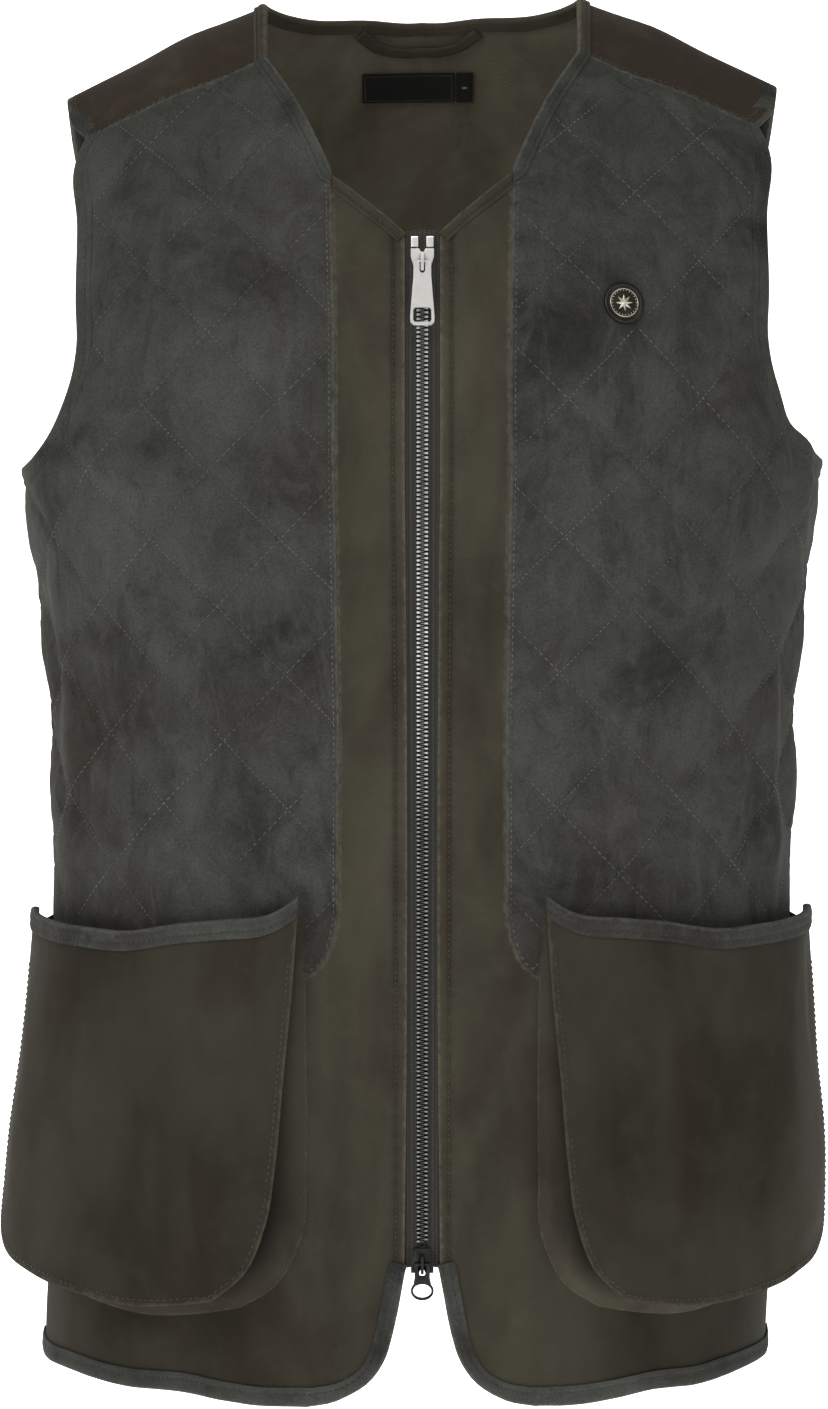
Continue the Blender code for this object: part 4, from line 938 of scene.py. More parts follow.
def oliveTop(across, down, face):
    off = np.abs(across) - zipSeam["stitch"]
    wave = np.sin(2 * np.pi * down / zipSeam["pitch"] + 1.4 * ripple(across, down, 60.0, 8))
    pull = zipSeam["pucker"] * wave * np.exp(-(off / 3.2) ** 2)
    pull = pull - zipSeam["groove"] * (0.75 + 0.25 * wave) * np.exp(-(off / zipSeam["grooveWidth"]) ** 2)
    return cut["cloth"] + pull + bodyRise(across, down, face)


def oliveField():  # wide over the skirt, close along the topstitch beside the zip
    outline = np.array(oliveCut)
    wide = evenField(outline, 4.5)
    wide = wide[np.abs(wide[:, 0] - zipSeam["stitch"]) > 5.5]
    downs = np.arange(outline[:, 1].min(), outline[:, 1].max(), 2.0)
    close = [(zipSeam["stitch"] + off, down) for down in downs for off in (-3.4, -1.8, -0.8, 0.0, 0.8, 1.8, 3.4)]
    return np.concatenate((wide, np.array(close)))


def oliveShade(spots):
    # painted shade: darker in the topstitch groove beside the zip and on the skirt towards the sides
    off = np.abs(np.abs(spots[:, 0]) - zipSeam["stitch"])
    sideways = np.clip((np.abs(spots[:, 0]) - skirtShade["from"]) / skirtShade["over"], 0, 1)
    low = np.clip((skirtShade["top"] - heightAt(spots[:, 0], spots[:, 1])) / 30.0, 0, 1)
    seam = np.where(low > 0.99, 0.6, 1.0) * zipSeam["dark"] * np.exp(-(off / 1.5) ** 2)
    return -1 + (1 - seam) * (1 - skirtShade["dark"] * sideways * low)


sides = (("left", 1), ("right", -1))
grid = quiltField()
for name, side in sides:
    outline = forSide(side, suedeCut)
    piece = clothPanel(f"quiltedFront_{name}", outline, front, flatRise(0.0), suedeTop, 3.6,
                       field=forSide(side, grid), rim=0.4)
    panelWear(piece, outline, 5.0)
    finishPiece(piece, suede, "suede", f"front_suede_{name}")
    outline = forSide(side, oliveCut)
    piece = clothPanel(f"oliveFront_{name}", outline, front, flatRise(0.0), oliveTop, 4.5,
                       field=forSide(side, oliveField()), rim=0.25)
    tagWearToneAndShade(piece, oliveShade(panelWear(piece, outline, 4.0)), "shade")
    finishPiece(piece, cotton, "cotton", f"front_olive_{name}")
print("fronts made")


# back
def onBack(line):
    return np.array(line) * (1, -1)


leftBack = joinLines(backNeck[::-1], onBack(yokeSeam), armholeBack, sideSuede, sideOlive, hemBack)
backCut = np.concatenate((leftBack, mirrored(leftBack)[::-1][1:-1]))
backPiece = clothPanel("backPanel", backCut, back, flatRise(0.0), flatRise(cut["cloth"]), 6.5)
spots = panelWear(backPiece, backCut, 4.0)
tagWearToneAndShade(backPiece, np.clip((35.0 - spots[:, 1]) / 40.0, 0, 1), "tone")
inward = np.arange(len(spots)) < len(spots) // 2
tagWearToneAndShade(backPiece, np.where(inward, 1.5, 0.0), "shade")  # painted light: the inner side is made 2.5 times as bright, standing in for the light that falls in at the neck
finishPiece(backPiece, cotton, "cotton", "back")
print("back made")

# bindings
bindingCut = {"thick": 1.15, "wave": 0.22, "sink": 0.5, "neckLayer": 0.6}


def ringWear(stations, around):
    row = np.zeros(around)
    row[1:13] = (0.55, 0.1, 0.0, 0.0, 0.2, 0.8, 1.0, 1.0, 0.9, 0.7, 0.4, 0.2)  # the fold at the edge wears first
    return np.tile(row, stations)


def boundEdge(name, edge, inner, face, material, slotName, node, closed=False, low=None, high=None, backShare=1.0,
              seed=1, thick=bindingCut["thick"]):
    low = low or flatRise(0.0)
    high = high or flatRise(cut["cloth"])
    rings, uvs = bindingRings(edge, inner, face, low, high, thick, backShare, bindingCut["wave"], seed)
    piece = ringStrip(name, rings, closed, uvs)
    tagWearToneAndShade(piece, ringWear(*rings.shape[:2]))
    finishPiece(piece, material, slotName, node)


def drawnIn(line, trim):
    line = np.array(line, float)
    for end, ahead in ((0, 1), (-1, -2)):
        way = line[ahead] - line[end]
        line[end] = line[end] + way / np.linalg.norm(way) * trim
    return line


seam = cut["seam"]
wholeNeck = joinLines(backNeck, mirrored(backNeck)[::-1])
wholeNeckIn = joinLines(backNeckIn, mirrored(backNeckIn)[::-1])
boundEdge("backNeckBinding", drawnIn(wholeNeck, seam), drawnIn(wholeNeckIn, seam), back, cotton, "cotton",
          "neck_binding_back", seed=2)
hemEdge = joinLines(hemFrontLine, hemBack)
hemInner = joinLines(hemFrontIn, hemBackIn)
hemFace = np.concatenate((np.full(len(hemFrontLine), front), np.full(len(hemBack) - 1, back)))
wholeHem = joinLines(hemEdge, mirrored(hemEdge)[::-1])
wholeHemIn = joinLines(hemInner, mirrored(hemInner)[::-1])
wholeHemFace = np.concatenate((hemFace, hemFace[::-1][1:]))
boundEdge("hemBinding", wholeHem, wholeHemIn, wholeHemFace, bindingSuede, "suede", "hem_binding", seed=3)
for name, side in sides:
    boundEdge(f"neckBinding_{name}", forSide(side, drawnIn(neckSuede, seam)), forSide(side, drawnIn(neckSuedeIn, seam)),
              front, bindingSuede, "suede", f"neck_binding_{name}", seed=4,
              high=flatRise(cut["cloth"] + quilt["layer"] * bindingCut["neckLayer"]))
    boundEdge(f"neckEdge_{name}", forSide(side, drawnIn(neckOlive, seam)), forSide(side, drawnIn(neckOliveIn, seam)),
              front, cotton, "cotton", f"neck_edge_{name}", seed=5, thick=0.6)
    edge = joinLines(armholeFront, armholeBack[::-1])[:-1]
    inner = joinLines(armholeFrontIn, armholeBackIn[::-1])[:-1]
    face = np.concatenate((np.full(len(armholeFront), front), np.full(len(armholeBack) - 2, back)))
    boundEdge(f"armholeBinding_{name}", forSide(side, edge), forSide(side, inner), face, bindingSuede, "suede",
              f"armhole_binding_{name}", closed=True, seed=6)
print("bindings made")

# bellows pockets
pocket = {
    "wall": 1.5, "band": 8.6, "turned": 0.22, "turn": 4.5, "gussetWall": 1.3, "seat": 0.6, "inset": 1.6,
    "bellows": 10.0, "steps": (64, 64, 42), "shade": -0.3,
    "top": ((64, -452), (69, -456), (105, -465), (147, -472), (190, -474), (221, -474), (257, -473)),
    "face": (((64, -452), (67.5, -506), (71, -547), (74, -590), (78, -618), (88, -644), (104, -659)),
             ((104, -659), (131, -663), (174, -661), (204, -656), (231, -648), (250, -631), (258, -604)),
             ((258, -604), (258.5, -560), (258, -510), (257, -473))),
    "gusset": (((63, -454), (62, -500), (61.5, -547), (62, -596), (64, -628), (76, -652), (97, -666)),
               ((97, -666), (131, -672), (174, -671), (204, -666), (231, -658), (250, -641), (257.5, -612)),
               ((257.5, -612), (258, -560), (257.5, -510), (256.5, -475))),
    "stand": ((-720, 30.0), (-662, 30.0), (-620, 28.0), (-590, 25.5), (-547, 20.0), (-506, 16.0), (-465, 13.0),
              (-430, 12.0)),
    "folds": (  # length round and height of both ends, half width, depth
        (92, -470, 100, -560, 12, -1.4), (128, -478, 140, -640, 16, 1.3), (168, -480, 160, -600, 14, -1.2),
        (206, -486, 200, -640, 16, 1.4), (236, -480, 240, -560, 9, -1.5), (84, -600, 150, -655, 10, -1.4),
        (240, -640, 190, -652, 9, -1.2), (-90, -520, -120, -650, 14, -1.5), (-150, -480, -146, -560, 12, 1.3),
        (-190, -478, -204, -640, 15, -1.3), (-236, -500, -226, -630, 11, 1.5), (-128, -648, -212, -650, 9, -1.2),
    ),
}
standLine = denseColumn(pocket["stand"], 1)
pocketFolds = creaseRows(pocket["folds"])


def pocketOut(across, down, face=front):
    stand = np.interp(heightAt(across, down), *standLine)
    return stand + creaseRise(pocketFolds, across, down) + 0.45 * ripple(across, down, 60.0, 21)


def pocketIn(across, down, face=front):
    return pocketOut(across, down) - pocket["wall"]


def pocketBandTop(across, down, face):
    return pocketOut(across, down) + cut["gap"] + bindingCut["thick"] - bindingCut["sink"]


def evenLine(tables, counts):
    parts = []
    for rows, count in zip(tables, counts):
        fine = roundLine(rows, 1.0)
        picks = np.linspace(0, len(fine) - 1, count + 1)
        parts.append(np.stack([np.interp(picks, np.arange(len(fine)), fine[:, c]) for c in (0, 1)], axis=1))
    return joinLines(*parts)


pocketBase = evenLine(pocket["gusset"], pocket["steps"])
pocketRim = evenLine(pocket["face"], pocket["steps"])
pocketTop = roundLine(pocket["top"])
pocketCut = joinLines(pocketTop, pocketRim[::-1])[:-1]
pocketTopIn = offsetLine(pocketTop, pocket["band"], True, alongLine(pocketRim, pocket["band"]),
                         alongLine(pocketRim[::-1], pocket["band"]))
for name, side in sides:
    outline = forSide(side, pocketCut)
    piece = clothPanel(f"pocketFace_{name}", outline, front, pocketIn, pocketOut, 4.5)
    panelWear(piece, outline, 2.6)
    tagWearToneAndShade(piece, np.full(len(piece.data.vertices), pocket["shade"]), "shade")
    finishPiece(piece, cotton, "cotton", f"pocket_face_{name}")
    boundEdge(f"pocketBand_{name}", forSide(side, pocketTop), forSide(side, pocketTopIn), front, bindingSuede, "suede",
              f"pocket_band_{name}", low=pocketIn, high=pocketOut, backShare=pocket["turned"], seed=7 + side)
    rim = offsetLine(pocketRim, pocket["inset"], False)
    rim[0, 1] += pocket["turn"]
    rim[-1, 1] += pocket["turn"]
    ways = sideWays(pocketBase, False, False)
    rows = []
    for wall in (0.0, pocket["gussetWall"]):
        column = []
        for share in np.linspace(0, 1, 9):
            bell = 1 - abs(2 * share - 1) ** 1.25
            spot = pocketBase * (1 - share) + rim * share + ways * (wall + pocket["bellows"] * bell)
            spot = forSide(side, spot)
            start = cut["cloth"] + pocket["seat"] + bodyRise(spot[:, 0], spot[:, 1], front)
            end = pocketIn(spot[:, 0], spot[:, 1]) - cut["gap"]
            column.append(offForm(spot[:, 0], spot[:, 1], front, start * (1 - share) + end * share))
        rows += column if not wall else column[::-1]
    rings = np.stack(rows, axis=1)
    uvs = stripUvs(runAlong(pocketBase), rings.shape[1], 3.0)
    piece = ringStrip(f"pocketGusset_{name}", rings, False, uvs)
    place = np.concatenate((np.arange(9), np.arange(9)[::-1]))
    tagWearToneAndShade(piece, np.tile(np.where(place == 0, 0.7, 0.0), len(rings)))
    # painted shade: the gusset darkens towards the pocket face, in the fold between face and gusset
    tagWearToneAndShade(piece, np.tile(-0.75 * np.clip((place - 1) / 3.0, 0, 1), len(rings)), "shade")
    finishPiece(piece, cotton, "cotton", f"pocket_gusset_{name}")
print("pockets made")

# trim inside the back neck
label = {
    "columns": (-31.0, 17.0), "tab": (18.0, 26.7), "heights": (-33.5, -48.5), "gap": 0.5, "wall": 1.0,
    "hanger": ((-32.5, -12.2), (-29, -14.5), (-24, -18.3), (-17, -20.8), (-2, -21.8), (12, -21.3), (20, -18.8),
               (26.5, -14.4), (29.5, -12.4)),
    "hangerWidth": 6.0, "hangerNear": -1.9, "hangerWall": 1.2,
}
labelNear = flatRise(-label["gap"])
labelFar = flatRise(-label["gap"] - label["wall"])


def labelCut(columns):
    top, bottom = label["heights"]
    corners = [(columns[0], top), (columns[1], top), (columns[1], bottom), (columns[0], bottom)]
    loop = []
    for (x0, z0), (x1, z1) in zip(corners, corners[1:] + corners[:1]):
        steps = max(2, round(math.hypot(x1 - x0, z1 - z0) / 1.5))
        for k in range(steps):
            x = x0 + (x1 - x0) * k / steps
            z = z0 + (z1 - z0) * k / steps
            loop.append((x, float(downOf(x, z))))
    return np.array(loop)


def makeLabel(name, colour, border, share):
    material, tree, shader = newMaterial(name, 0.85, sheen=0.02, specular=0.10)
    wave = addNode(tree, "ShaderNodeTexWave", Scale=55.0, Distortion=0.4)
    tree.links.new(cutCoords(tree), wave.inputs["Vector"])
    fine = noiseNode(tree, cutCoords(tree), 90.0, 3.0, 0.6)
    weft = rampNode(tree, fine, ((0.3, tuple(c * 0.6 for c in colour)), (0.7, tuple(c * 1.6 for c in colour))))
    edge = rampNode(tree, wearToneAndShade(tree), ((0.34, 0.0), (0.42, share), (0.56, share), (0.64, 0.0)))
    tree.links.new(mixNode(tree, edge, weft, border), shader.inputs["Base Color"])
    bumpNode(tree, shader, wave.outputs["Fac"], 0.0001, 0.4)
    return material


labelCloth = makeLabel("labelCloth", (0.0075, 0.0075, 0.007), (0.045, 0.042, 0.030), 0.6)
tabCloth = makeLabel("tabCloth", (0.0080, 0.0080, 0.0075), (0.16, 0.16, 0.15), 0.9)
for name, columns, material, node in (("neckLabel", label["columns"], labelCloth, "neck_label"),
                                      ("sizeTab", label["tab"], tabCloth, "size_tab")):
    outline = labelCut(columns)
    piece = clothPanel(name, outline, back, labelFar, labelNear, 0.6 if node == "size_tab" else 1.1)
    if node == "size_tab":  # one small pale bar, level, in the middle
        spots = cutSpots(piece)
        heights = heightAt(spots[:, 0], spots[:, 1])
        level = (heights.max() + heights.min()) / 2
        across = np.abs(spots[:, 0] - outline[:, 0].mean())
        away = np.maximum(across / 1.8, np.abs(heights - level) / 0.9)
        tagWearToneAndShade(piece, np.clip(0.42 - 0.42 * (away - 0.6), 0, 0.42))
    else:
        panelWear(piece, outline, 2.4)
    finishPiece(piece, material, "label", node)

path = traceLine([(x, float(downOf(x, z))) for x, z in label["hanger"]], 2.0)
ways = sideWays(path, False, True)
width = label["hangerWidth"] / 2
near = label["hangerNear"]
profile = []
for across, rise in ((-1, 0.0), (-0.92, 0.35), (-0.5, 0.5), (0.5, 0.5), (0.92, 0.35), (1, 0.0)):
    profile.append((across * width, near + 0.1 - rise * 0.3))
for across, rise in ((1, 0.0), (0.9, 0.5), (0.55, 0.75), (0.0, 0.62), (-0.55, 0.75), (-0.9, 0.5), (-1, 0.0)):
    profile.append((across * width, near - 0.35 - label["hangerWall"] * rise))
rows = []
for across, rise in profile:
    spot = path + ways * across
    rows.append(offForm(spot[:, 0], spot[:, 1], back, rise + bodyRise(spot[:, 0], spot[:, 1], back)))
rings = np.stack(rows, axis=1)
hanger = ringStrip("hangerLoop", rings, False, stripUvs(runAlong(path), rings.shape[1], 1.5))
tagWearToneAndShade(hanger, np.full(len(hanger.data.vertices), 0.3))
finishPiece(hanger, cotton, "cotton", "hanger_loop")
print("neck trim made")

# zip
zipCut = {
    "tapeGap": 0.35, "tapeNeck": 9.7, "tapeReach": 17.0, "tapeWall": 1.1, "tapeTop": -116.5, "tapeShoulder": -123.0,
    "tapeFoot": -643.4, "tapeBottom": -645.0, "chainTop": -137.4, "chainBottom": -633.0, "pitch": 2.2,
}
tapeKeys = ("tapeTop", "tapeShoulder", "tapeFoot", "tapeBottom")
ends = [float(downOf(zipCut["tapeReach"], zipCut[key])) for key in tapeKeys]
stations = np.arange(ends[1], ends[2], 4.0)
tapeCut = np.concatenate((
    [(zipCut["tapeGap"], ends[0])], [(zipCut["tapeGap"], d) for d in stations[1:]], [(zipCut["tapeGap"], ends[3])],
    [(zipCut["tapeNeck"], ends[3]), (zipCut["tapeNeck"], ends[2])],
    [(zipCut["tapeReach"], ends[2])], [(zipCut["tapeReach"], d) for d in stations[::-1]],
    [(zipCut["tapeNeck"], ends[1]), (zipCut["tapeNeck"], ends[0])],
))
tapeCloth, tree, shader = newMaterial("tapeCloth", 0.75, sheen=0.2, specular=0.3)
ribs = addNode(tree, "ShaderNodeTexWave", Scale=14.0, Distortion=0.3)
tree.links.new(cutCoords(tree), ribs.inputs["Vector"])
weft = addNode(tree, "ShaderNodeTexWave", Scale=26.0, Distortion=0.5)
weft.bands_direction = "Y"
tree.links.new(cutCoords(tree), weft.inputs["Vector"])
both = mathNode(tree, "MULTIPLY", ribs.outputs["Fac"], weft.outputs["Fac"])
tree.links.new(rampNode(tree, both, ((0.0, (0.010, 0.0095, 0.008)), (0.6, (0.034, 0.032, 0.026)))),
               shader.inputs["Base Color"])
bumpNode(tree, shader, both, 0.0002, 0.6)


def tapeRise(depth):  # the tapes lie straight under the chain
    return lambda across, down, face: np.full(np.shape(across), depth)


for name, side in sides:
    outline = forSide(side, tapeCut)
    piece = clothPanel(f"zipTape_{name}", outline, front, tapeRise(-cut["gap"] - zipCut["tapeWall"]),
                       tapeRise(-cut["gap"]), 2.5)
    finishPiece(piece, tapeCloth, "tape", f"zip_tape_{name}")

# each tooth: (across the chain, along it) outline, then rings at three heights drawn in towards the top
toothOutline = ((-0.95, -0.30), (-0.6, -0.48), (0.5, -0.45), (1.0, -0.62), (2.5, -0.72), (2.95, -0.5),
                (2.95, 0.5), (2.5, 0.72), (1.0, 0.62), (0.5, 0.45), (-0.6, 0.48), (-0.95, 0.30))
toothRings = ((-0.15, 1.0, -0.9), (1.35, 1.0, -0.75), (1.95, 0.86, 0.0), (2.2, 0.5, 0.0))  # rise, size, shade
teethPoints = []
teethShade = []
teethFaces = []
chainEnds = [float(downOf(0.0, zipCut[key])) for key in ("chainTop", "chainBottom")]
count = int((chainEnds[1] - chainEnds[0] - 1.6) / zipCut["pitch"])
base = 0
for k in range(count):
    for side in (1, -1):
        down = chainEnds[0] + 1.0 + zipCut["pitch"] * (k + (0.5 if side < 0 else 0.0))
        point = formPoints(0.0, down, front)
        out = formNormals(0.0, down, front)
        along = formPoints(0.0, down + 1, front) - formPoints(0.0, down - 1, front)
        along /= np.linalg.norm(along)
        across = np.cross(along, out) if np.cross(along, out)[0] > 0 else np.cross(out, along)
        n = len(toothOutline)
        for rise, draw, shade in toothRings:
            for x, a in toothOutline:
                # painted shade: the low rings and the heads between the two rows are darker
                teethShade.append(min(shade, -0.75 if x < 0.8 else 0.0))
                x = 1.6 + (x - 1.6) * (1 + draw) / 2
                teethPoints.append(point + across * side * x + along * a * draw + out * rise)
        order = 1 if side > 0 else -1
        for row in range(len(toothRings) - 1):
            for j in range(n):
                j2 = (j + 1) % n
                quad = (base + row * n + j, base + row * n + j2, base + (row + 1) * n + j2, base + (row + 1) * n + j)
                teethFaces.append(quad[::order])
        top = base + (len(toothRings) - 1) * n
        teethFaces.append(tuple(range(top, top + n))[::order])
        teethFaces.append(tuple(range(base, base + n))[::-order])
        base += len(toothRings) * n
teeth = makeMesh("zipTeeth", teethPoints, teethFaces, None, 35)
outwardFaces(teeth)
teethHeights = np.array(teethPoints)[:, 2]
# darker towards the bottom of the chain
duller = 1 - 0.62 * np.clip((-330.0 - teethHeights) / 90.0, 0, 1)
tagWearToneAndShade(teeth, (1 + np.array(teethShade)) * duller - 1, "shade")
finishPiece(teeth, teethSteel, "steel", "zip_chain")


def dressNode(name, material, bevel=0.22):
    node = nodes[name]
    node.data.materials.clear()
    node.data.materials.append(material)
    weld = node.modifiers.new("weld", "WELD")
    weld.merge_threshold = 1e-5
    edge = node.modifiers.new("edge", "BEVEL")
    edge.width = bevel * mm
    edge.segments = 2
    edge.limit_method = "ANGLE"
    edge.angle_limit = math.radians(35)


for name in ("zip_slider_top", "zip_stop_left", "zip_stop_right", "zip_pull_top"):
    dressNode(name, brightSteel)
for name in ("zip_slider_bottom", "zip_pull_bottom"):
    dressNode(name, darkSteel)
dressNode("chest_badge", badgeSteel)
print("zip made")

# badge relief: a beaded ring round a plain eight-point star
badge = {"ring": 7.3, "wire": 0.32, "beads": 24, "beadRing": 6.4, "bead": 0.34, "star": 4.9, "starIn": 2.1, "rise": 2.0,
         "starRise": 0.75}
spot = quilt["badge"]
seatPoint = formPoints(spot[0], spot[1], front)
seatOut = formNormals(spot[0], spot[1], front)
seatSide = np.cross(seatOut, (0.0, 0.0, 1.0))
seatSide /= np.linalg.norm(seatSide)
seatUp = np.cross(seatSide, seatOut)
seatTurn = np.stack((seatSide, seatUp, seatOut), axis=1)


def lastPiece():
    return bpy.context.view_layer.objects.active


parts = []
bpy.ops.object.select_all(action="DESELECT")
bpy.ops.mesh.primitive_torus_add(major_segments=64, minor_segments=10, major_radius=badge["ring"] * mm,
                                 minor_radius=badge["wire"] * mm)
parts.append(lastPiece())
for k in range(badge["beads"]):
    turn = 2 * math.pi * k / badge["beads"]
    bpy.ops.mesh.primitive_uv_sphere_add(
        segments=10, ring_count=6, radius=badge["bead"] * mm,
        location=(badge["beadRing"] * mm * math.cos(turn), badge["beadRing"] * mm * math.sin(turn), 0),
    )
    parts.append(lastPiece())
bpy.ops.mesh.primitive_cone_add(vertices=16, radius1=badge["star"] * mm, radius2=0, depth=badge["starRise"] * mm,
                                location=(0, 0, badge["starRise"] * mm / 2))
star = lastPiece()
for vertex in star.data.vertices:
    if vertex.co.z < 0 and vertex.index % 2:
        vertex.co.x *= badge["starIn"] / badge["star"]
        vertex.co.y *= badge["starIn"] / badge["star"]
parts.append(star)
bpy.ops.object.select_all(action="DESELECT")
for part in parts:
    part.select_set(True)
bpy.context.view_layer.objects.active = parts[0]
bpy.ops.object.join()
relief = lastPiece()
relief.name = "badgeRelief"
bpy.ops.object.transform_apply(location=True, rotation=True, scale=True)
lift = seatPoint + seatOut * (cut["cloth"] + badge["rise"] - 0.05)
for vertex in relief.data.vertices:
    vertex.co = Vector((lift * mm + seatTurn @ np.array(vertex.co)).tolist())
outwardFaces(relief)
relief.select_set(False)
finishPiece(relief, brassSteel, "dark_steel")
print("badge made")

# sewing
sewing = {
    "quiltThick": 0.26, "edgeThick": 0.28, "plainThick": 0.34, "boundThick": 0.3, "boundPitch": 2.9, "boundLength": 2.0,
    "boundAt": 0.6, "zipPitch": 2.8, "zipLength": 1.9, "pocketInset": 3.0, "yokeInset": 2.2, "yokeLift": 0.15,
    "lines": 9, "badgeClear": 13.0, "lowest": -468.0,
}
suedeThread = Sewing()
oliveSewing = Sewing()
darkSewing = Sewing()
bound = {"pitch": sewing["boundPitch"], "length": sewing["boundLength"]}
boundLift = cut["cloth"] + cut["gap"] + bindingCut["thick"] - bindingCut["sink"]
boundTop = flatRise(boundLift)
boundNeckTop = flatRise(boundLift + quilt["layer"] * bindingCut["neckLayer"])


def shownOn(side):  # where a quilting line stays in sight
    def shown(spots):
        q = spots * (side, 1)
        keep = insideLoop(q, suedeCut) & (gapToLine(q, armholeFront) > cut["armholeBinding"] + 1.0)
        keep &= (gapToLine(q, neckSuede) > cut["neckBinding"] + 1.0) & (gapToLine(q, suedeCut, True) > 1.5)
        off = np.hypot(q[:, 0] - quilt["badge"][0], q[:, 1] - quilt["badge"][1])
        keep &= (off > sewing["badgeClear"]) | (side < 0)
        return keep & ((heightAt(q[:, 0], q[:, 1]) > sewing["lowest"]) | (q[:, 0] < 62))

    return shown


def between(edge, inner):  # the line that a binding's stitches run on
    return edge + (inner - edge) * sewing["boundAt"]


for name, side in sides:
    for k in range(-sewing["lines"], sewing["lines"] + 1):
        for family in (0, 1):
            run = np.linspace(-9, 10, 400)
            p, q = (np.full(400, k), run) if family else (run, np.full(400, k))
            across = quilt["across"] + quilt["halfWidth"] * (p + q)
            drop = quilt["drop"] + quilt["halfHeight"] * (p - q)
            keep = (across > 38) & (across < quarter + 2) & (drop > -60) & (drop < 560)
            if keep.sum() < 4:
                continue
            across = across[keep]
            line = np.stack((across, drop[keep] + shoulderOffset(across)), axis=1)
            suedeThread.run(forSide(side, line), front, suedeTop, thick=sewing["quiltThick"], keep=shownOn(side))
    inner = offsetLine(suedeInner, quilt["edgeStitch"], False)
    suedeThread.run(forSide(side, inner), front, suedeTop, thick=sewing["edgeThick"])
    line = zipEdge.copy()
    line[:, 0] = zipSeam["stitch"]
    oliveSewing.run(forSide(side, line[3:-1]), front, oliveTop, pitch=sewing["zipPitch"], length=sewing["zipLength"])
    for edge, inner, face, rise in ((armholeFront, armholeFrontIn, front, boundTop),
                                    (armholeBack, armholeBackIn, back, boundTop),
                                    (neckSuede, neckSuedeIn, front, boundNeckTop),
                                    (hemBack, hemBackIn, back, boundTop),
                                    (hemFrontLine, hemFrontIn, front, boundTop)):
        darkSewing.run(forSide(side, between(edge, inner)), face, rise, thick=sewing["boundThick"], **bound)
    oliveSewing.run(forSide(side, between(neckOlive, neckOliveIn)), front, boundTop, **bound)
    oliveSewing.run(forSide(side, between(backNeck, backNeckIn)), back, boundTop, **bound)
    around = offsetLine(pocketRim, sewing["pocketInset"], False)
    oliveSewing.run(forSide(side, around[8:-8]), front, pocketOut, thick=sewing["plainThick"])
    darkSewing.run(forSide(side, between(pocketTop, pocketTopIn)), front, pocketBandTop, **bound)
    seamLine = offsetLine(np.abs(yokeSeam), sewing["yokeInset"], False)
    oliveSewing.run(forSide(side, onBack(seamLine)), back, flatRise(cut["cloth"] + sewing["yokeLift"]),
                    thick=sewing["plainThick"])
suedeStitches = suedeThread.piece("suedeStitches", paleThread, "suede")
oliveStitches = oliveSewing.piece("oliveStitches", oliveThread, "cotton")
darkSewing.piece("bindingStitches", darkThread, "suede")
print("sewing made", len(suedeStitches.data.polygons), len(oliveStitches.data.polygons))

# studio
studio = {"floor": -1.25, "far": 8.0, "near": -9.0, "halfWidth": 9.0, "height": 8.0, "bend": 1.2, "glow": 1.1,
          "surround": 24.0, "paper": 0.93, "room": 0.42, "aim": (0, 0, -0.36)}
rows = [(studio["near"], studio["floor"])]
for k in range(13):
    t = math.pi / 2 * k / 12
    rows.append((studio["far"] - studio["bend"] + studio["bend"] * math.sin(t),
                 studio["floor"] + studio["bend"] - studio["bend"] * math.cos(t)))
rows.append((studio["far"], studio["height"]))
points = [(x, y, z) for y, z in rows for x in (-studio["halfWidth"], studio["halfWidth"])]
faces = [(2 * k, 2 * k + 1, 2 * k + 3, 2 * k + 2) for k in range(len(rows) - 1)]
sweepMesh = bpy.data.meshes.new("sweep")
sweepMesh.from_pydata(points, [], faces)
sweep = bpy.data.objects.new("sweep", sweepMesh)
bpy.context.collection.objects.link(sweep)
for polygon in sweepMesh.polygons:
    polygon.use_smooth = True
paper, tree, shader = newMaterial("paper", 0.9, specular=0.1)
shader.inputs["Base Color"].default_value = (studio["paper"], studio["paper"], studio["paper"], 1)
shader.inputs["Emission Color"].default_value = (1, 1, 1, 1)
shader.inputs["Emission Strength"].default_value = studio["glow"]
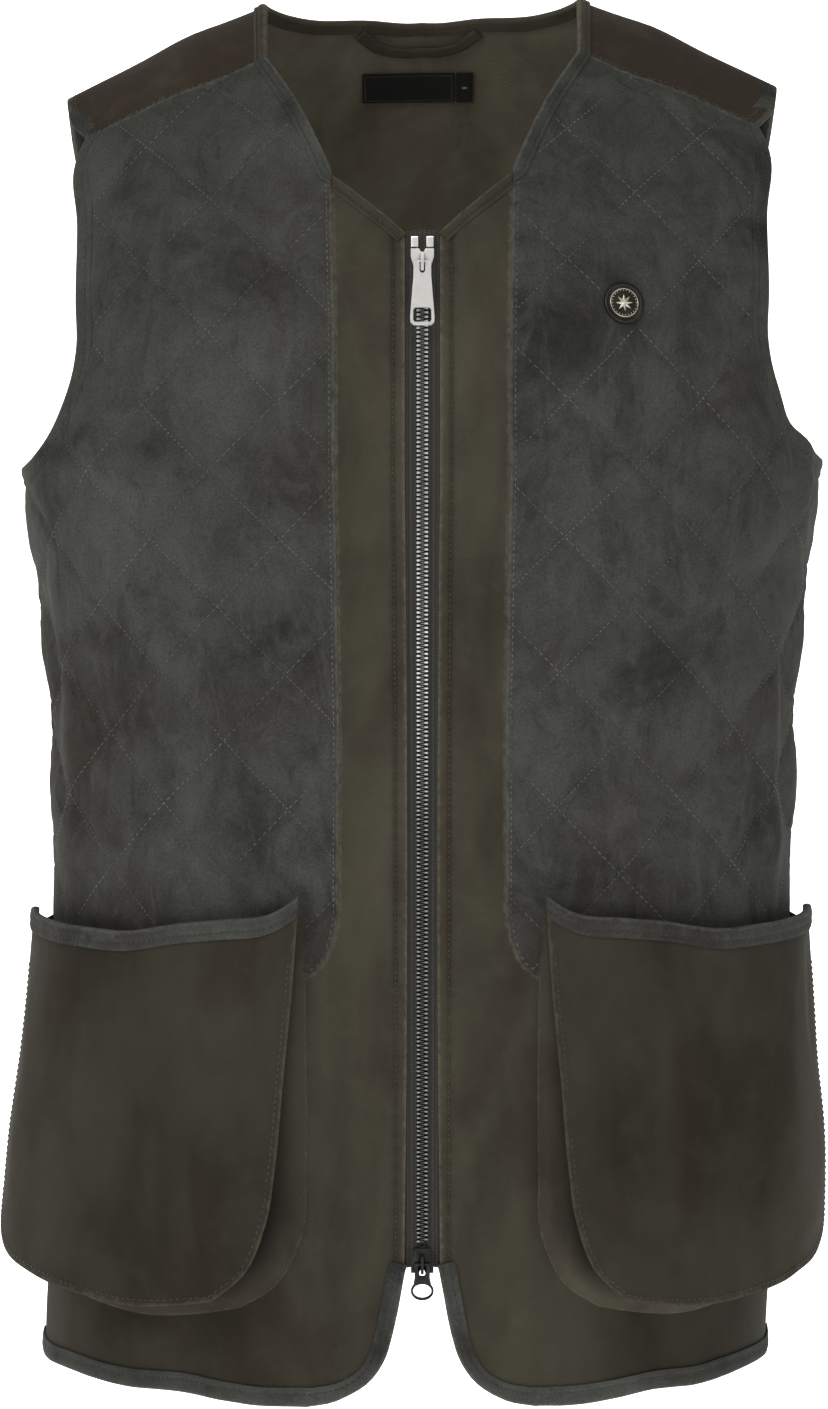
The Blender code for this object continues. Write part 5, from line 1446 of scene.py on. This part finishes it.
sweepMesh.materials.append(paper)

bpy.ops.mesh.primitive_uv_sphere_add(segments=48, ring_count=24, radius=studio["surround"])
surround = bpy.context.view_layer.objects.active  # a white room for the other angles, which lights nothing
surround.name = "surround"
surround.data.materials.append(paper)
surround.visible_diffuse = False
surround.visible_glossy = False
surround.visible_transmission = False
surround.visible_shadow = False

lamps = {  # place, size, power, warmth
    "key": ((-1.8, -2.2, 1.3), 1.2, 27.0, (1.0, 0.99, 0.97)),
    "fill": ((1.9, -2.4, 0.5), 1.6, 5.0, (0.98, 0.99, 1.0)),
    "neck": ((0.0, -1.6, 1.7), 0.6, 18.0, (1.0, 0.99, 0.97)),
    "rear": ((-2.3, 2.0, 1.0), 0.8, 24.0, (1.0, 0.99, 0.97)),
}
for name, (place, size, power, tint) in lamps.items():
    lamp = bpy.data.lights.new(name, "AREA")
    lamp.shape = "SQUARE"
    lamp.size = size
    lamp.energy = power
    lamp.color = tint
    holder = bpy.data.objects.new(name, lamp)
    bpy.context.collection.objects.link(holder)
    holder.location = place
    aim = Vector(studio["aim"]) - Vector(place)
    holder.rotation_euler = aim.to_track_quat("-Z", "Y").to_euler()

world = bpy.data.worlds.new("room")
world.use_nodes = True
world.node_tree.nodes["Background"].inputs["Color"].default_value = (1, 1, 1, 1)
world.node_tree.nodes["Background"].inputs["Strength"].default_value = studio["room"]
bpy.context.scene.world = world
bpy.context.scene.view_settings.view_transform = "Standard"

view = {"target": (-0.0042, 0.0, -0.366), "distance": 3.05, "elevation": 5.5, "lens": 147.6}
lens = bpy.data.cameras.new("camera")
lens.lens = view["lens"]
lens.sensor_width = 36.0
lens.dof.use_dof = False
camera = bpy.data.objects.new("camera", lens)
bpy.context.collection.objects.link(camera)
tilt = math.radians(view["elevation"])
away = Vector((0, -math.cos(tilt), math.sin(tilt))) * view["distance"]
camera.location = Vector(view["target"]) + away
camera.rotation_euler = (-away).to_track_quat("-Z", "Y").to_euler()
bpy.context.scene.camera = camera

print("scene done")
